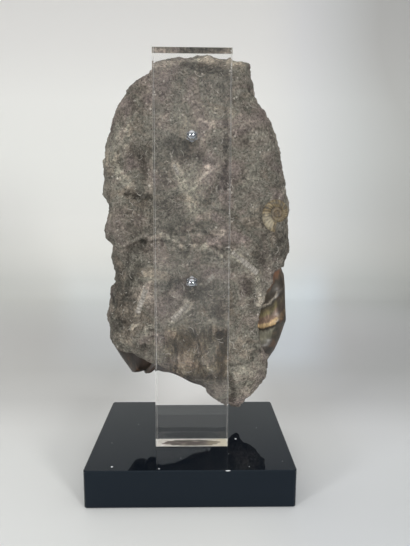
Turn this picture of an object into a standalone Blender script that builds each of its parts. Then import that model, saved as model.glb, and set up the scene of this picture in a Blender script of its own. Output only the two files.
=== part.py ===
"""A polished ammonite fossil block on its display stand.

A slab of grey limestone holds one great ammonite and several smaller ones, raised and polished on its far
face. Its rough back leans on a clear upright plate, held by two studs with cap nuts, and the plate stands on
a black base. Sizes are in millimetres and become metres when a mesh is made. The frame's origin is the
centre of the base's underside: +X to the right and +Z up as seen from the nuts' side, +Y away from it.
"""

import math

import bmesh
import bpy
import numpy as np
from mathutils import Vector, noise

MM = 0.001
GAP = 0.3  # left between neighbouring pieces
FULL_TURN = 2 * math.pi

# Black base
BASE_WIDTH = 160.0
BASE_DEPTH = 122.0
BASE_HEIGHT = 30.0
BASE_CORNER = 2.5
BASE_EDGE = 0.6

# Clear upright
PLATE_WIDTH = 59.0
PLATE_THICKNESS = 20.0
PLATE_TOP = 340.0
PLATE_X = 0.7
PLATE_FRONT_Y = -27.0
PLATE_BACK_Y = PLATE_FRONT_Y + PLATE_THICKNESS
PLATE_EDGE = 0.4

# Studs and cap nuts, size M5
STUD_X = 0.6
STUD_HEIGHTS = {"upper": 276.7, "lower": 167.4}
STUD_RADIUS = 2.5
STUD_IN_NUT = 5.6
STUD_IN_ROCK = 15.0
HOLE_RADIUS = STUD_RADIUS + GAP
NUT_ACROSS_FLATS = 8.0
NUT_HEX_HEIGHT = 4.0
NUT_HEIGHT = 10.0
NUT_DOME_RADIUS = 3.75
NUT_CHAMFER = 0.5
ROUND_SIDES = 18

# Slab outline seen from the back, clockwise from the upper left: x, z, and the y of its widest line
SLAB_OUTLINE = (
    (-34, 337, 20), (-28, 342, 20), (-18, 344, 20), (-9, 345.5, 20), (-5, 344.5, 20), (5, 346, 20),
    (12, 347, 20), (21, 346.5, 20), (33, 346, 20), (47.5, 341.5, 20), (50, 334, 21), (51, 325, 21),
    (55.5, 312, 21), (63, 306, 22), (66, 299, 22), (71, 287, 22), (77, 272, 23), (78.3, 259, 23),
    (81.3, 246, 23), (85, 228, 23), (84.5, 216, 23), (85.5, 207, 23), (85.5, 187, 23), (82.5, 180, 22),
    (80, 172.5, 23), (83, 166, 25), (84, 157, 26), (85, 140, 26), (86, 124, 26), (81, 108, 27),
    (76, 96, 27), (69.5, 86, 27), (71, 72, 26), (66, 69, 25), (58, 59, 24), (48.5, 52, 22),
    (45.5, 46, 21), (41, 42.5, 21), (33, 47, 19), (29, 50, 17), (25, 54, 15), (21.5, 56.5, 14),
    (17, 60.5, 13), (15, 67, 12), (7.5, 71, 12), (-6.5, 77, 13), (-20.5, 83.5, 16), (-29, 85, 20),
    (-33, 82, 24), (-36.5, 79, 26), (-50, 75.5, 29), (-55, 75.5, 29), (-64, 88.5, 28), (-71, 101, 27),
    (-74, 108, 25), (-75, 131, 24), (-73.5, 149.5, 24), (-72.5, 153, 23), (-67, 159, 23), (-70.5, 174, 23),
    (-69.8, 192, 23), (-76, 198, 23), (-76, 210, 23), (-72, 224, 23), (-76, 239.5, 22), (-76, 263, 22),
    (-72.5, 279, 22), (-67, 297, 21), (-64.5, 303, 21), (-59.5, 312, 21), (-53, 325, 21), (-47, 329, 20),
    (-39, 333.5, 20),
)
SLAB_MIDDLE = (5.0, 195.0)
SLAB_MEAN_RIM_Y = 23.0
OUTLINE_SAMPLES = 420
SLAB_RINGS = 90

# How the faces leave the widest line, and how rough they are
BACK_WALL = 13.0
BACK_WALL_REACH = 2.4
BACK_BELLY = 16.0
BACK_BELLY_REACH = 22.0
FRONT_WALL = 8.0
FRONT_WALL_REACH = 4.5
CORNER_REACH = 1.2
CHIP_SIZE = 8.0
CHIP_SHARE = 1.1
SWELL_HEIGHT = 2.4
SWELL_SIZE = 52.0
LAYER_STEP = 1.5
LAYER_SLOPE_X = 0.030
LAYER_SLOPE_Z = -0.014
FACET_HEIGHT = 1.3
FACET_SIZE = 16.0
WALL_ROUGHNESS = 1.2
GRAIN_HEIGHT = 0.5
GRAIN_SIZE = 11.0
MOAT_DEPTH = 1.6
MOAT_REACH = 5.0

# The rock's back is ground flat against the plate around each stud
SEAT_RADIUS = 10.0
SEAT_Y = PLATE_BACK_Y + GAP

# Ledges on the back: points along each, its height towards the plate, and how far it fades out
LEDGES = (
    (((-70, 180), (-58, 191), (-46, 196), (-32, 199), (-19, 198), (-10, 193), (0, 191)), 2.4, 26.0),
    (((1, 197), (14, 194), (25, 190), (43, 180)), -2.2, 20.0),
    (((-69, 237), (-55, 235.5), (-34, 235)), -2.4, 22.0),
    (((-34, 331), (-5, 333), (18, 330), (33, 332), (49, 328)), -2.6, 24.0),
    (((34, 60), (33, 76), (40, 86), (52, 84), (66, 88)), -2.6, 24.0),
)
LEDGE_WIDTH = 0.9

# Rough lump over the bare shell, and the hollows behind the plate's lower part: x, z, reach, height along y
LUMP = (66.0, 189.0, 17.0, -4.6)
HOLLOWS = ((5.0, 106.0, 24.0, 3.4), (0.0, 74.0, 18.0, 4.5))

# Where the matrix has broken away from the great ammonite: x of the edge by z, and z of the edge by x
BARE_RIGHT_Z = (90, 95, 102, 108, 117, 123, 128, 135, 143, 148, 157, 162, 168, 172, 175)
BARE_RIGHT_X = (76, 65, 62, 60, 58, 57, 57.5, 59, 62, 62.5, 65, 70, 70, 73, 86)
BARE_LEFT_X = (-77, -67, -63, -57, -52, -48, -42, -37, -33, -28, -24)
BARE_LEFT_Z = (107, 104, 99, 98, 98.5, 96, 93, 89.5, 86.5, 83, 74)
BREAK_WIDTH = 0.8

ROCK_VOXEL = 1.9
ROCK_TRIANGLES = 8200


def smooth_step(low, high, value):
    """Zero below low, one above high, and an even curve between them."""
    part = np.clip((value - low) / (high - low), 0, 1)
    return part * part * (3 - 2 * part)


def sampled_outline(count):
    """The slab's outline as evenly spaced points."""
    corners = np.array(SLAB_OUTLINE + SLAB_OUTLINE[:1], float)
    lengths = np.hypot(*np.diff(corners[:, :2], axis=0).T)
    travelled = np.concatenate([[0], np.cumsum(lengths)])
    places = np.linspace(0, travelled[-1], count, endpoint=False)
    return np.stack([np.interp(places, travelled, corners[:, axis]) for axis in range(3)], axis=1)


def outline_reach(middle_x, middle_z):
    """The slab outline's distance from a point inside it, by angle."""
    corners = sampled_outline(720)
    angle = np.arctan2(corners[:, 1] - middle_z, corners[:, 0] - middle_x)
    order = np.argsort(angle)
    return angle[order], np.hypot(corners[:, 0] - middle_x, corners[:, 1] - middle_z)[order]


class Coil:
    """A flat spiral shell lying in the slab, with its tube growing by a fixed ratio each turn."""

    def __init__(
        self, x, z, radius, opening, winding, plane, fatness,
        ribs=24, rib_height=0.026, growth=1.9, sweep=0.9, phase=0.0, lean=0.0, at_edge=False,
    ):
        self.x = x
        self.z = z
        self.radius = radius
        self.opening = math.radians(opening)
        self.winding = winding
        self.plane = plane
        self.fatness = fatness
        self.ribs = ribs
        self.rib_height = rib_height
        self.growth = growth
        self.sweep = sweep
        self.phase = phase
        self.lean = lean
        self.edge = outline_reach(x, z) if at_edge else None

    def outer(self, angle):
        """How far the last turn reaches at an angle; it follows the slab's edge where the two are close."""
        turned = np.mod(self.winding * (angle - self.opening), FULL_TURN)
        reach = self.radius * self.growth ** (-turned / FULL_TURN)
        if self.edge is not None:
            ratio = np.interp(angle, *self.edge, period=FULL_TURN) / reach
            reach = reach * (1 + (ratio - 1) * smooth_step(0.12, 0.07, np.abs(ratio - 1)))
        return turned, reach

    def level(self, x):
        """The y of the shell's middle plane, which leans back towards +x."""
        return self.plane + self.lean * (x - self.x)

    def polar(self, x, z):
        """Each point's distance from the axis, its place along the last turn, and that turn's reach there."""
        turned, reach = self.outer(np.arctan2(z - self.z, x - self.x))
        return np.hypot(x - self.x, z - self.z), turned, reach

    def rib(self, turned, across):
        """How much of a rib stands at a place along and across the tube, zero to one."""
        return (0.5 + 0.5 * np.cos(self.ribs * turned + self.sweep * across + self.phase)) ** 1.6

    def half_thickness(self, x, z):
        """Half the shell's thickness at each point, ribs included, and zero outside the shell."""
        distance, turned, outer = self.polar(x, z)
        distance = np.maximum(distance, 0.02 * self.radius)
        turns_in = np.floor(np.log(outer / distance) / math.log(self.growth))
        rim = outer * self.growth ** -turns_in
        across = (2 * distance - rim - rim / self.growth) / (rim - rim / self.growth)
        section = np.sqrt(np.clip(1 - np.abs(across) ** 2.4, 0, 1))
        rib = self.rib(turned + FULL_TURN * turns_in, across)
        thickness = rim * section * (self.fatness + self.rib_height * rib)
        return np.where(turns_in >= 0, thickness, 0.0)


GREAT_COIL = Coil(
    12, 143, 101, -172, 1, 27, 0.17, ribs=18, rib_height=0.034, sweep=-3.0, phase=2.79, at_edge=True
)
FRONT_COILS = (
    GREAT_COIL,
    Coil(-20, 284, 44, 60, -1, 28, 0.20, ribs=27, rib_height=0.034, growth=1.85),
    Coil(47, 264, 23, 200, 1, 29, 0.22, rib_height=0.034, growth=1.8),
    Coil(31, 318, 13, -60, -1, 29.5, 0.26),
    Coil(-59, 225, 11, 20, 1, 29.5, 0.26),
    Coil(-3, 230, 8, 140, -1, 29.5, 0.28),
    Coil(62, 229, 9, 80, 1, 29.5, 0.28),
)
BACK_COIL = Coil(71.5, 220.5, 16.5, -100, -1, 1.0, 0.16, ribs=26, growth=2.3, sweep=1.2, lean=0.4)


def fractal(x, z, size, shift=0.0):
    """Soft noise over the slab's plane, about one to minus one, with its largest lumps of one size."""
    values = [
        noise.fractal(Vector((a / size + shift, b / size, shift)), 1.0, 2.0, 4)
        for a, b in zip(x.tolist(), z.tolist())
    ]
    return np.array(values)


def around(x, z, size, shift):
    """Noise that changes only on the way round the slab's edge, with its lumps about 90 / size degrees long."""
    angle = np.arctan2(z - SLAB_MIDDLE[1], x - SLAB_MIDDLE[0])
    places = zip((size * np.cos(angle)).tolist(), (size * np.sin(angle)).tolist())
    return np.array([noise.noise(Vector((a, b, shift))) for a, b in places])


def tilt(middle):
    """A direction and steepness that belong to one place."""
    return Vector([2 * noise.noise(middle * scale) for scale in (7.1, 8.3, 9.7)])


def facets(points, size):
    """Creased noise: the random cells are tilted each its own way, as where chips have broken off."""
    values = []
    for point in points.tolist():
        place = Vector(point) / size
        distances, middles = noise.voronoi(place)
        first, second = [tilt(middle).dot(place - middle) for middle in middles[:2]]
        share = min(1.0, (distances[1] - distances[0]) / 0.2)
        values.append(first * (0.5 + 0.5 * share) + second * (0.5 - 0.5 * share))
    return np.array(values)


def line_distance(x, z, points):
    """Distance from each point to a line through points, and on which side it lies: plus is to its left."""
    nearest = np.full(x.shape, np.inf)
    side = np.ones(x.shape)
    for (ax, az), (bx, bz) in zip(points[:-1], points[1:]):
        run_x = bx - ax
        run_z = bz - az
        along = np.clip(((x - ax) * run_x + (z - az) * run_z) / (run_x**2 + run_z**2), 0, 1)
        away_x = x - ax - along * run_x
        away_z = z - az - along * run_z
        distance = np.hypot(away_x, away_z)
        closer = distance < nearest
        nearest = np.where(closer, distance, nearest)
        side = np.where(closer, np.sign(run_x * away_z - run_z * away_x), side)
    return nearest, np.where(side == 0, 1.0, side)


def inset_from_edge(x, z):
    """How far inside the slab's outline each point lies."""
    corners = [(corner[0], corner[1]) for corner in SLAB_OUTLINE + SLAB_OUTLINE[:1]]
    return line_distance(x, z, corners)[0]


def bump(x, z, place):
    """A round mound or hollow: its middle's x and z, its reach, and its height along y."""
    middle_x, middle_z, reach, height = place
    return height * np.exp(-(((x - middle_x) ** 2 + (z - middle_z) ** 2) / reach**2))


def ledge(x, z, points, height, fade):
    """A step along a line: the surface moves towards the plate on its left and fades back."""
    distance, side = line_distance(x, z, points)
    step = smooth_step(-LEDGE_WIDTH, LEDGE_WIDTH, distance * side)
    return -height * step * np.exp(-((distance / fade) ** 2))


def layered(x, z):
    """The shallow terraces left where thin beds have split off."""
    level = LAYER_SLOPE_X * x + LAYER_SLOPE_Z * z + 1.8 * fractal(x, z, 64.0, 7.0)
    whole = np.floor(level)
    return LAYER_STEP * (whole + smooth_step(0.40, 0.60, level - whole) - level)


def bare_shell(x, z):
    """One where the matrix has broken away from the great ammonite on the back, zero elsewhere."""
    right = smooth_step(-BREAK_WIDTH, BREAK_WIDTH, x - np.interp(z, BARE_RIGHT_Z, BARE_RIGHT_X))
    right = right * ((z > BARE_RIGHT_Z[0]) & (z < BARE_RIGHT_Z[-1]))
    left = smooth_step(-BREAK_WIDTH, BREAK_WIDTH, np.interp(x, BARE_LEFT_X, BARE_LEFT_Z) - z)
    left = left * (x < BARE_LEFT_X[-1])
    return np.maximum(right, left)


def chipped(reach, x, z, shift):
    """A wall's reach that changes round the edge, where larger and smaller chips have come off."""
    return reach * (1 + CHIP_SHARE * np.maximum(around(x, z, CHIP_SIZE, shift), -0.6))


def back_face(x, z, rim, inset):
    """The y of the slab's back, which faces the plate."""
    wall = 1 - np.exp(-inset / chipped(BACK_WALL_REACH, x, z, 1.5))
    y = rim - BACK_WALL * wall - BACK_BELLY * (1 - np.exp(-inset / BACK_BELLY_REACH))
    y = y + wall * (SWELL_HEIGHT * fractal(x, z, SWELL_SIZE, 3.0) + layered(x, z))
    for points, height, fade in LEDGES:
        y = y + wall * ledge(x, z, points, height, fade)
    y = y + wall * bump(x, z, LUMP)
    for hollow in HOLLOWS:
        y = y + wall * bump(x, z, hollow)
    distance, _, outer = BACK_COIL.polar(x, z)
    coil = BACK_COIL.level(x) - BACK_COIL.half_thickness(x, z)
    y = np.where(distance < outer, np.minimum(y, coil), y)
    shell = GREAT_COIL.plane - GREAT_COIL.half_thickness(x, z)
    y = y + bare_shell(x, z) * (shell - y)
    for height in STUD_HEIGHTS.values():
        seat = smooth_step(1.6 * SEAT_RADIUS, SEAT_RADIUS, np.hypot(x - STUD_X, z - height))
        y = y + seat * (SEAT_Y - y)
    return np.maximum(rim + (y - rim) * (1 - np.exp(-inset / CORNER_REACH)), SEAT_Y)


def front_face(x, z, rim, inset):
    """The y of the slab's far face, with the ammonites standing out of it."""
    wall = 1 - np.exp(-inset / chipped(FRONT_WALL_REACH, x, z, 5.5))
    y = rim + wall * (FRONT_WALL + SWELL_HEIGHT * 0.6 * fractal(x, z, SWELL_SIZE, 11.0))
    for coil in FRONT_COILS:
        distance, _, outer = coil.polar(x, z)
        y = y - MOAT_DEPTH * np.exp(-np.maximum(distance - outer, 0) / MOAT_REACH)
        floor = coil.plane + 0.02 * coil.radius
        inside = smooth_step(0.80, 0.70, distance / outer)
        y = y + inside * (floor - y)
        y = np.where(distance < outer, np.maximum(y, coil.plane + coil.half_thickness(x, z)), y)
    return rim + (y - rim) * (1 - np.exp(-inset / CORNER_REACH))


def slab_sheets():
    """The slab as rings of points: its back sheet, its rim and its far sheet, as one closed mesh."""
    outline = sampled_outline(OUTLINE_SAMPLES)
    fractions = np.sin(np.linspace(0, math.pi / 2, SLAB_RINGS + 1))[1:]
    spokes = outline[None, :, :2] - np.array(SLAB_MIDDLE)
    flat = np.array(SLAB_MIDDLE) + spokes * fractions[:, None, None]
    x = np.concatenate([flat[..., 0].ravel(), SLAB_MIDDLE[:1]])
    z = np.concatenate([flat[..., 1].ravel(), SLAB_MIDDLE[1:]])
    rim = SLAB_MEAN_RIM_Y + (outline[None, :, 2] - SLAB_MEAN_RIM_Y) * fractions[:, None] ** 2
    rim = np.concatenate([rim.ravel(), [SLAB_MEAN_RIM_Y]])
    inset = inset_from_edge(x, z)
    inset[-1 - OUTLINE_SAMPLES:-1] = 0.0
    back = np.stack([x, back_face(x, z, rim, inset), z], axis=1)
    front = np.stack([x, front_face(x, z, rim, inset), z], axis=1)
    edge_start = (SLAB_RINGS - 1) * OUTLINE_SAMPLES
    count = len(x)
    front_index = np.arange(count) + count
    front_index[edge_start:edge_start + OUTLINE_SAMPLES] -= count
    faces = []
    for ring in range(SLAB_RINGS - 1):
        for step in range(OUTLINE_SAMPLES):
            after = (step + 1) % OUTLINE_SAMPLES
            a = ring * OUTLINE_SAMPLES + step
            b = ring * OUTLINE_SAMPLES + after
            faces.append((a, b, b + OUTLINE_SAMPLES, a + OUTLINE_SAMPLES))
            faces.append(tuple(int(front_index[i]) for i in (a, a + OUTLINE_SAMPLES, b + OUTLINE_SAMPLES, b)))
    for step in range(OUTLINE_SAMPLES):
        after = (step + 1) % OUTLINE_SAMPLES
        faces.append((step, count - 1, after))
        faces.append((count + step, count + after, 2 * count - 1))
    return np.concatenate([back, front]) * MM, faces


def material(name, color, roughness, metallic=0.0, alpha=1.0):
    """A plain Principled material."""
    made = bpy.data.materials.new(name)
    made.use_nodes = True
    shader = made.node_tree.nodes["Principled BSDF"]
    shader.inputs["Base Color"].default_value = (*color, 1.0)
    shader.inputs["Roughness"].default_value = roughness
    shader.inputs["Metallic"].default_value = metallic
    shader.inputs["Alpha"].default_value = alpha
    made.diffuse_color = (*color, alpha)
    return made


def placed(name, mesh, look):
    """A new object in the scene with a mesh and a material."""
    obj = bpy.data.objects.new(name, mesh)
    mesh.materials.clear()
    mesh.materials.append(look)
    bpy.context.scene.collection.objects.link(obj)
    return obj


def baked_mesh(obj):
    """The object's mesh with its modifiers applied; the object itself is removed."""
    graph = bpy.context.evaluated_depsgraph_get()
    mesh = bpy.data.meshes.new_from_object(obj.evaluated_get(graph))
    bpy.data.objects.remove(obj)
    return mesh


def rod_along_y(name, radius, start, end, x, z, look):
    """A round rod between two y values."""
    bm = bmesh.new()
    bmesh.ops.create_cone(
        bm, cap_ends=True, segments=ROUND_SIDES, radius1=radius * MM, radius2=radius * MM,
        depth=(end - start) * MM,
    )
    mesh = bpy.data.meshes.new(name)
    bm.to_mesh(mesh)
    bm.free()
    mesh.shade_smooth()
    mesh.set_sharp_from_angle(angle=math.radians(40))
    rod = placed(name, mesh, look)
    rod.rotation_euler = (math.pi / 2, 0, 0)
    rod.location = (x * MM, (start + end) / 2 * MM, z * MM)
    return rod


def drilled(obj, name, radius, start, end, look):
    """Cuts a round hole along y through an object at each stud."""
    for which, height in STUD_HEIGHTS.items():
        cutter = rod_along_y(f"{name}_{which}", radius, start, end, STUD_X, height, look)
        cutter.hide_render = True
        cutter.display_type = "WIRE"
        cut = obj.modifiers.new(f"bore_{which}", "BOOLEAN")
        cut.operation = "DIFFERENCE"
        cut.solver = "EXACT"
        cut.object = cutter


def bevelled_block(name, low, high, corner, edge, look):
    """A block with rounded upright corners and a small bevel on every other edge."""
    bm = bmesh.new()
    bmesh.ops.create_cube(bm, size=1.0)
    size = [(b - a) * MM for a, b in zip(low, high)]
    bmesh.ops.scale(bm, vec=size, verts=bm.verts)
    bmesh.ops.translate(bm, vec=[(a + b) / 2 * MM for a, b in zip(low, high)], verts=bm.verts)
    if corner:
        upright = [e for e in bm.edges if abs((e.verts[0].co - e.verts[1].co).z) > 0.9 * size[2]]
        bmesh.ops.bevel(bm, geom=upright, offset=corner * MM, segments=3, profile=0.5, affect="EDGES")
    sharp = [e for e in bm.edges if e.calc_face_angle(0) > math.radians(60)]
    bmesh.ops.bevel(bm, geom=sharp, offset=edge * MM, segments=1, affect="EDGES")
    mesh = bpy.data.meshes.new(name)
    bm.to_mesh(mesh)
    bm.free()
    return placed(name, mesh, look)


def make_base(look):
    """The black block, its underside at z = 0."""
    low = (-BASE_WIDTH / 2, -BASE_DEPTH / 2, 0)
    high = (BASE_WIDTH / 2, BASE_DEPTH / 2, BASE_HEIGHT)
    return bevelled_block("black_base", low, high, BASE_CORNER, BASE_EDGE, look)


def make_plate(look, cutter_look):
    """The clear upright, standing on the base, with a hole for each stud."""
    low = (PLATE_X - PLATE_WIDTH / 2, PLATE_FRONT_Y, BASE_HEIGHT + GAP)
    high = (PLATE_X + PLATE_WIDTH / 2, PLATE_BACK_Y, PLATE_TOP)
    plate = bevelled_block("acrylic_upright", low, high, 0, PLATE_EDGE, look)
    drilled(plate, "plate_hole", HOLE_RADIUS, PLATE_FRONT_Y - 5, PLATE_BACK_Y + 5, cutter_look)
    return plate


def nut_rings():
    """The cap nut's rings from the bottom of its bore to the top of its dome: radius or None, and height."""
    rings = [(HOLE_RADIUS, STUD_IN_NUT + GAP), (HOLE_RADIUS, 0.0)]
    rings += [(NUT_ACROSS_FLATS / 2, 0.0), (None, NUT_CHAMFER), (None, NUT_HEX_HEIGHT - NUT_CHAMFER)]
    rings += [(NUT_ACROSS_FLATS / 2 - 0.1, NUT_HEX_HEIGHT)]
    shoulder = NUT_HEIGHT - NUT_DOME_RADIUS
    for step in range(6):
        lift = step / 6 * math.pi / 2
        rings.append((NUT_DOME_RADIUS * math.cos(lift), shoulder + NUT_DOME_RADIUS * math.sin(lift)))
    return rings


def make_nut(name, height, look):
    """A hexagon cap nut with a corner up, its flat side against the plate and its dome towards -y."""
    bm = bmesh.new()
    rows = []
    for radius, level in nut_rings():
        row = []
        for step in range(ROUND_SIDES):
            angle = step / ROUND_SIDES * FULL_TURN
            hexagon = NUT_ACROSS_FLATS / 2 / math.cos((angle % (math.pi / 3)) - math.pi / 6)
            reach = hexagon if radius is None else min(radius, hexagon)
            place = Vector((reach * math.sin(angle), -level, reach * math.cos(angle)))
            row.append(bm.verts.new(place * MM))
        rows.append(row)
    for lower, upper in zip(rows[:-1], rows[1:]):
        for step in range(ROUND_SIDES):
            after = (step + 1) % ROUND_SIDES
            bm.faces.new((lower[step], lower[after], upper[after], upper[step]))
    bore_end = bm.verts.new((0, -(STUD_IN_NUT + GAP) * MM, 0))
    dome_top = bm.verts.new((0, -NUT_HEIGHT * MM, 0))
    for step in range(ROUND_SIDES):
        after = (step + 1) % ROUND_SIDES
        bm.faces.new((bore_end, rows[0][after], rows[0][step]))
        bm.faces.new((dome_top, rows[-1][step], rows[-1][after]))
    bmesh.ops.recalc_face_normals(bm, faces=bm.faces)
    mesh = bpy.data.meshes.new(name)
    bm.to_mesh(mesh)
    bm.free()
    mesh.shade_smooth()
    mesh.set_sharp_from_angle(angle=math.radians(25))
    nut = placed(name, mesh, look)
    nut.location = (STUD_X * MM, (PLATE_FRONT_Y - GAP) * MM, height * MM)
    return nut


def make_stud(name, height, look):
    """A threaded rod from inside the nut, through the plate, into the rock."""
    start = PLATE_FRONT_Y - GAP - STUD_IN_NUT
    return rod_along_y(name, STUD_RADIUS, start, SEAT_Y + STUD_IN_ROCK, STUD_X, height, look)


def roughened(mesh):
    """Moves the matrix's points a little along their normals, but not the shells' or the seats'."""
    points = np.empty(len(mesh.vertices) * 3)
    mesh.vertices.foreach_get("co", points)
    points = points.reshape(-1, 3) / MM
    normals = np.empty(len(mesh.vertices) * 3)
    mesh.vertex_normals.foreach_get("vector", normals)
    normals = normals.reshape(-1, 3)
    x, y, z = points.T
    grain = np.array([noise.fractal(Vector(p) / GRAIN_SIZE, 1.0, 2.0, 3) for p in points.tolist()])
    keep = 1 - bare_shell(x, z)
    for height in STUD_HEIGHTS.values():
        keep *= smooth_step(SEAT_RADIUS, 1.6 * SEAT_RADIUS, np.hypot(x - STUD_X, z - height))
    for coil in FRONT_COILS:
        distance, _, outer = coil.polar(x, z)
        keep *= np.where((distance < outer + 1) & (y > coil.plane), 0, 1)
    relief = GRAIN_HEIGHT * grain + FACET_HEIGHT * facets(points, FACET_SIZE)
    relief = relief * (1 + WALL_ROUGHNESS * (1 - np.abs(normals[:, 1])))
    moved = points + normals * (relief * keep)[:, None]
    moved[:, 1] = np.maximum(moved[:, 1], SEAT_Y)
    mesh.vertices.foreach_set("co", (moved * MM).ravel())
    mesh.update()


def make_rock(look, cutter_look):
    """The slab: its sheets evened out, roughened, thinned to a light mesh, and drilled for the studs."""
    points, faces = slab_sheets()
    mesh = bpy.data.meshes.new("slab_sheets")
    mesh.from_pydata([tuple(p) for p in points.tolist()], [], faces)
    rock = placed("slab_sheets", mesh, look)
    even = rock.modifiers.new("even", "REMESH")
    even.mode = "VOXEL"
    even.voxel_size = ROCK_VOXEL * MM
    mesh = baked_mesh(rock)
    roughened(mesh)
    rock = placed("slab_even", mesh, look)
    thin = rock.modifiers.new("thin", "DECIMATE")
    thin.ratio = ROCK_TRIANGLES / sum(len(p.vertices) - 2 for p in mesh.polygons)
    mesh = baked_mesh(rock)
    for vertex in mesh.vertices:
        vertex.co.y = max(vertex.co.y, SEAT_Y * MM)
    mesh.shade_smooth()
    mesh.set_sharp_from_angle(angle=math.radians(35))
    rock = placed("fossil_block", mesh, look)
    deep = SEAT_Y + STUD_IN_ROCK + GAP
    drilled(rock, "rock_socket", HOLE_RADIUS, PLATE_BACK_Y - 5, deep, cutter_look)
    return rock


def main():
    for obj in list(bpy.data.objects):
        bpy.data.objects.remove(obj)
    limestone = material("limestone", (0.19, 0.165, 0.14), 0.85)
    clear = material("clear_acrylic", (0.95, 0.96, 0.96), 0.05, alpha=0.3)
    black = material("black_acrylic", (0.01, 0.01, 0.012), 0.08)
    chrome = material("chrome", (0.75, 0.76, 0.78), 0.12, metallic=1.0)
    cutter = material("cutter", (0.8, 0.1, 0.1), 0.5)
    make_rock(limestone, cutter)
    make_plate(clear, cutter)
    make_base(black)
    for which, height in STUD_HEIGHTS.items():
        make_stud(f"{which}_stud", height, chrome)
        make_nut(f"{which}_cap_nut", height, chrome)


main()
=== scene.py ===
"""The looks of the polished ammonite fossil block: stone, fossils, clear plate, chrome and black gloss.

Sizes are in millimetres in the shape functions, which repeat the slab of the construction model at a finer
step, and become metres when a mesh is made. +Y points away from the side with the nuts.
"""

import math
import random

import bmesh
import bpy
import numpy as np
from mathutils import Matrix, Vector, noise
from mathutils.bvhtree import BVHTree


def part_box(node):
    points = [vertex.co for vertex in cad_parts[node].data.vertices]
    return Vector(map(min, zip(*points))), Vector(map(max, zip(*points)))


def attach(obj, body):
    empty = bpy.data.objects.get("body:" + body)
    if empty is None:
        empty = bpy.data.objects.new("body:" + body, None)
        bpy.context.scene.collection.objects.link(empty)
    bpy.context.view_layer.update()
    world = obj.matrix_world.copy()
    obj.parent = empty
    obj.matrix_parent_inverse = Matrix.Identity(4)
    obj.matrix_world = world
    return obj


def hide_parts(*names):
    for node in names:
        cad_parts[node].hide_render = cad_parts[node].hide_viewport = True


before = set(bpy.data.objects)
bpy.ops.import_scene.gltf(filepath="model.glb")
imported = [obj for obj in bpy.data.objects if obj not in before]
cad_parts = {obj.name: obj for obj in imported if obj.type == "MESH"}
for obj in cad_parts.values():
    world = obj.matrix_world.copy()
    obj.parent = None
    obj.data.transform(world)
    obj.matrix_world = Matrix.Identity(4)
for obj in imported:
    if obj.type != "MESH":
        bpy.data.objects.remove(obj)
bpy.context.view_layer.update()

MM = 0.001
FULL_TURN = 2 * math.pi
TOUCH_GAP = 0.3  # the construction model's gap between pieces that touch


def node_box(node):
    """A construction node's lowest and highest corners in millimetres."""
    low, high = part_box(node)
    return np.array(low) / MM, np.array(high) / MM


PLATE_LOW, PLATE_HIGH = node_box("acrylic_upright")
BASE_LOW, BASE_HIGH = node_box("black_base")
PLATE_BACK_Y = float(PLATE_HIGH[1])
STUD_NODES = ("upper_stud", "lower_stud")
STUD_LOW, STUD_HIGH = node_box(STUD_NODES[0])
STUD_X = float(STUD_LOW[0] + STUD_HIGH[0]) / 2
STUD_HEIGHTS = [float(sum(corner[2] for corner in node_box(stud))) / 2 for stud in STUD_NODES]

# Slab outline seen from the back, clockwise from the upper left: x, z, and the y of its widest line
SLAB_OUTLINE = (
    (-34, 337, 20), (-28, 342, 20), (-18, 344, 20), (-9, 345.5, 20), (-5, 344.5, 20), (5, 346, 20),
    (12, 347, 20), (21, 346.5, 20), (33, 346, 20), (47.5, 341.5, 20), (50, 334, 21), (51, 325, 21),
    (55.5, 312, 21), (63, 306, 22), (66, 299, 22), (71, 287, 22), (77, 272, 23), (78.3, 259, 23),
    (81.3, 246, 23), (85, 228, 23), (84.5, 216, 23), (85.5, 207, 23), (85.5, 187, 23), (82.5, 180, 22),
    (80, 172.5, 23), (83, 166, 25), (84, 157, 26), (85, 140, 26), (86, 124, 26), (81, 108, 27),
    (76, 96, 27), (69.5, 86, 27), (71, 72, 26), (66, 69, 25), (58, 59, 24), (48.5, 52, 22),
    (45.5, 46, 21), (41, 42.5, 21), (33, 47, 19), (29, 50, 17), (25, 54, 15), (21.5, 56.5, 14),
    (17, 60.5, 13), (15, 67, 12), (7.5, 71, 12), (-6.5, 77, 13), (-20.5, 83.5, 16), (-29, 85, 20),
    (-33, 82, 24), (-36.5, 79, 26), (-50, 75.5, 29), (-55, 75.5, 29), (-64, 88.5, 28), (-71, 101, 27),
    (-74, 108, 25), (-75, 131, 24), (-73.5, 149.5, 24), (-72.5, 153, 23), (-67, 159, 23), (-70.5, 174, 23),
    (-69.8, 192, 23), (-76, 198, 23), (-76, 210, 23), (-72, 224, 23), (-76, 239.5, 22), (-76, 263, 22),
    (-72.5, 279, 22), (-67, 297, 21), (-64.5, 303, 21), (-59.5, 312, 21), (-53, 325, 21), (-47, 329, 20),
    (-39, 333.5, 20),
)
SLAB_MIDDLE = (5.0, 195.0)
SLAB_MEAN_RIM_Y = 23.0
OUTLINE_SAMPLES = 640
OUTLINE_READINGS = 720
SLAB_RINGS = 140

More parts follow.
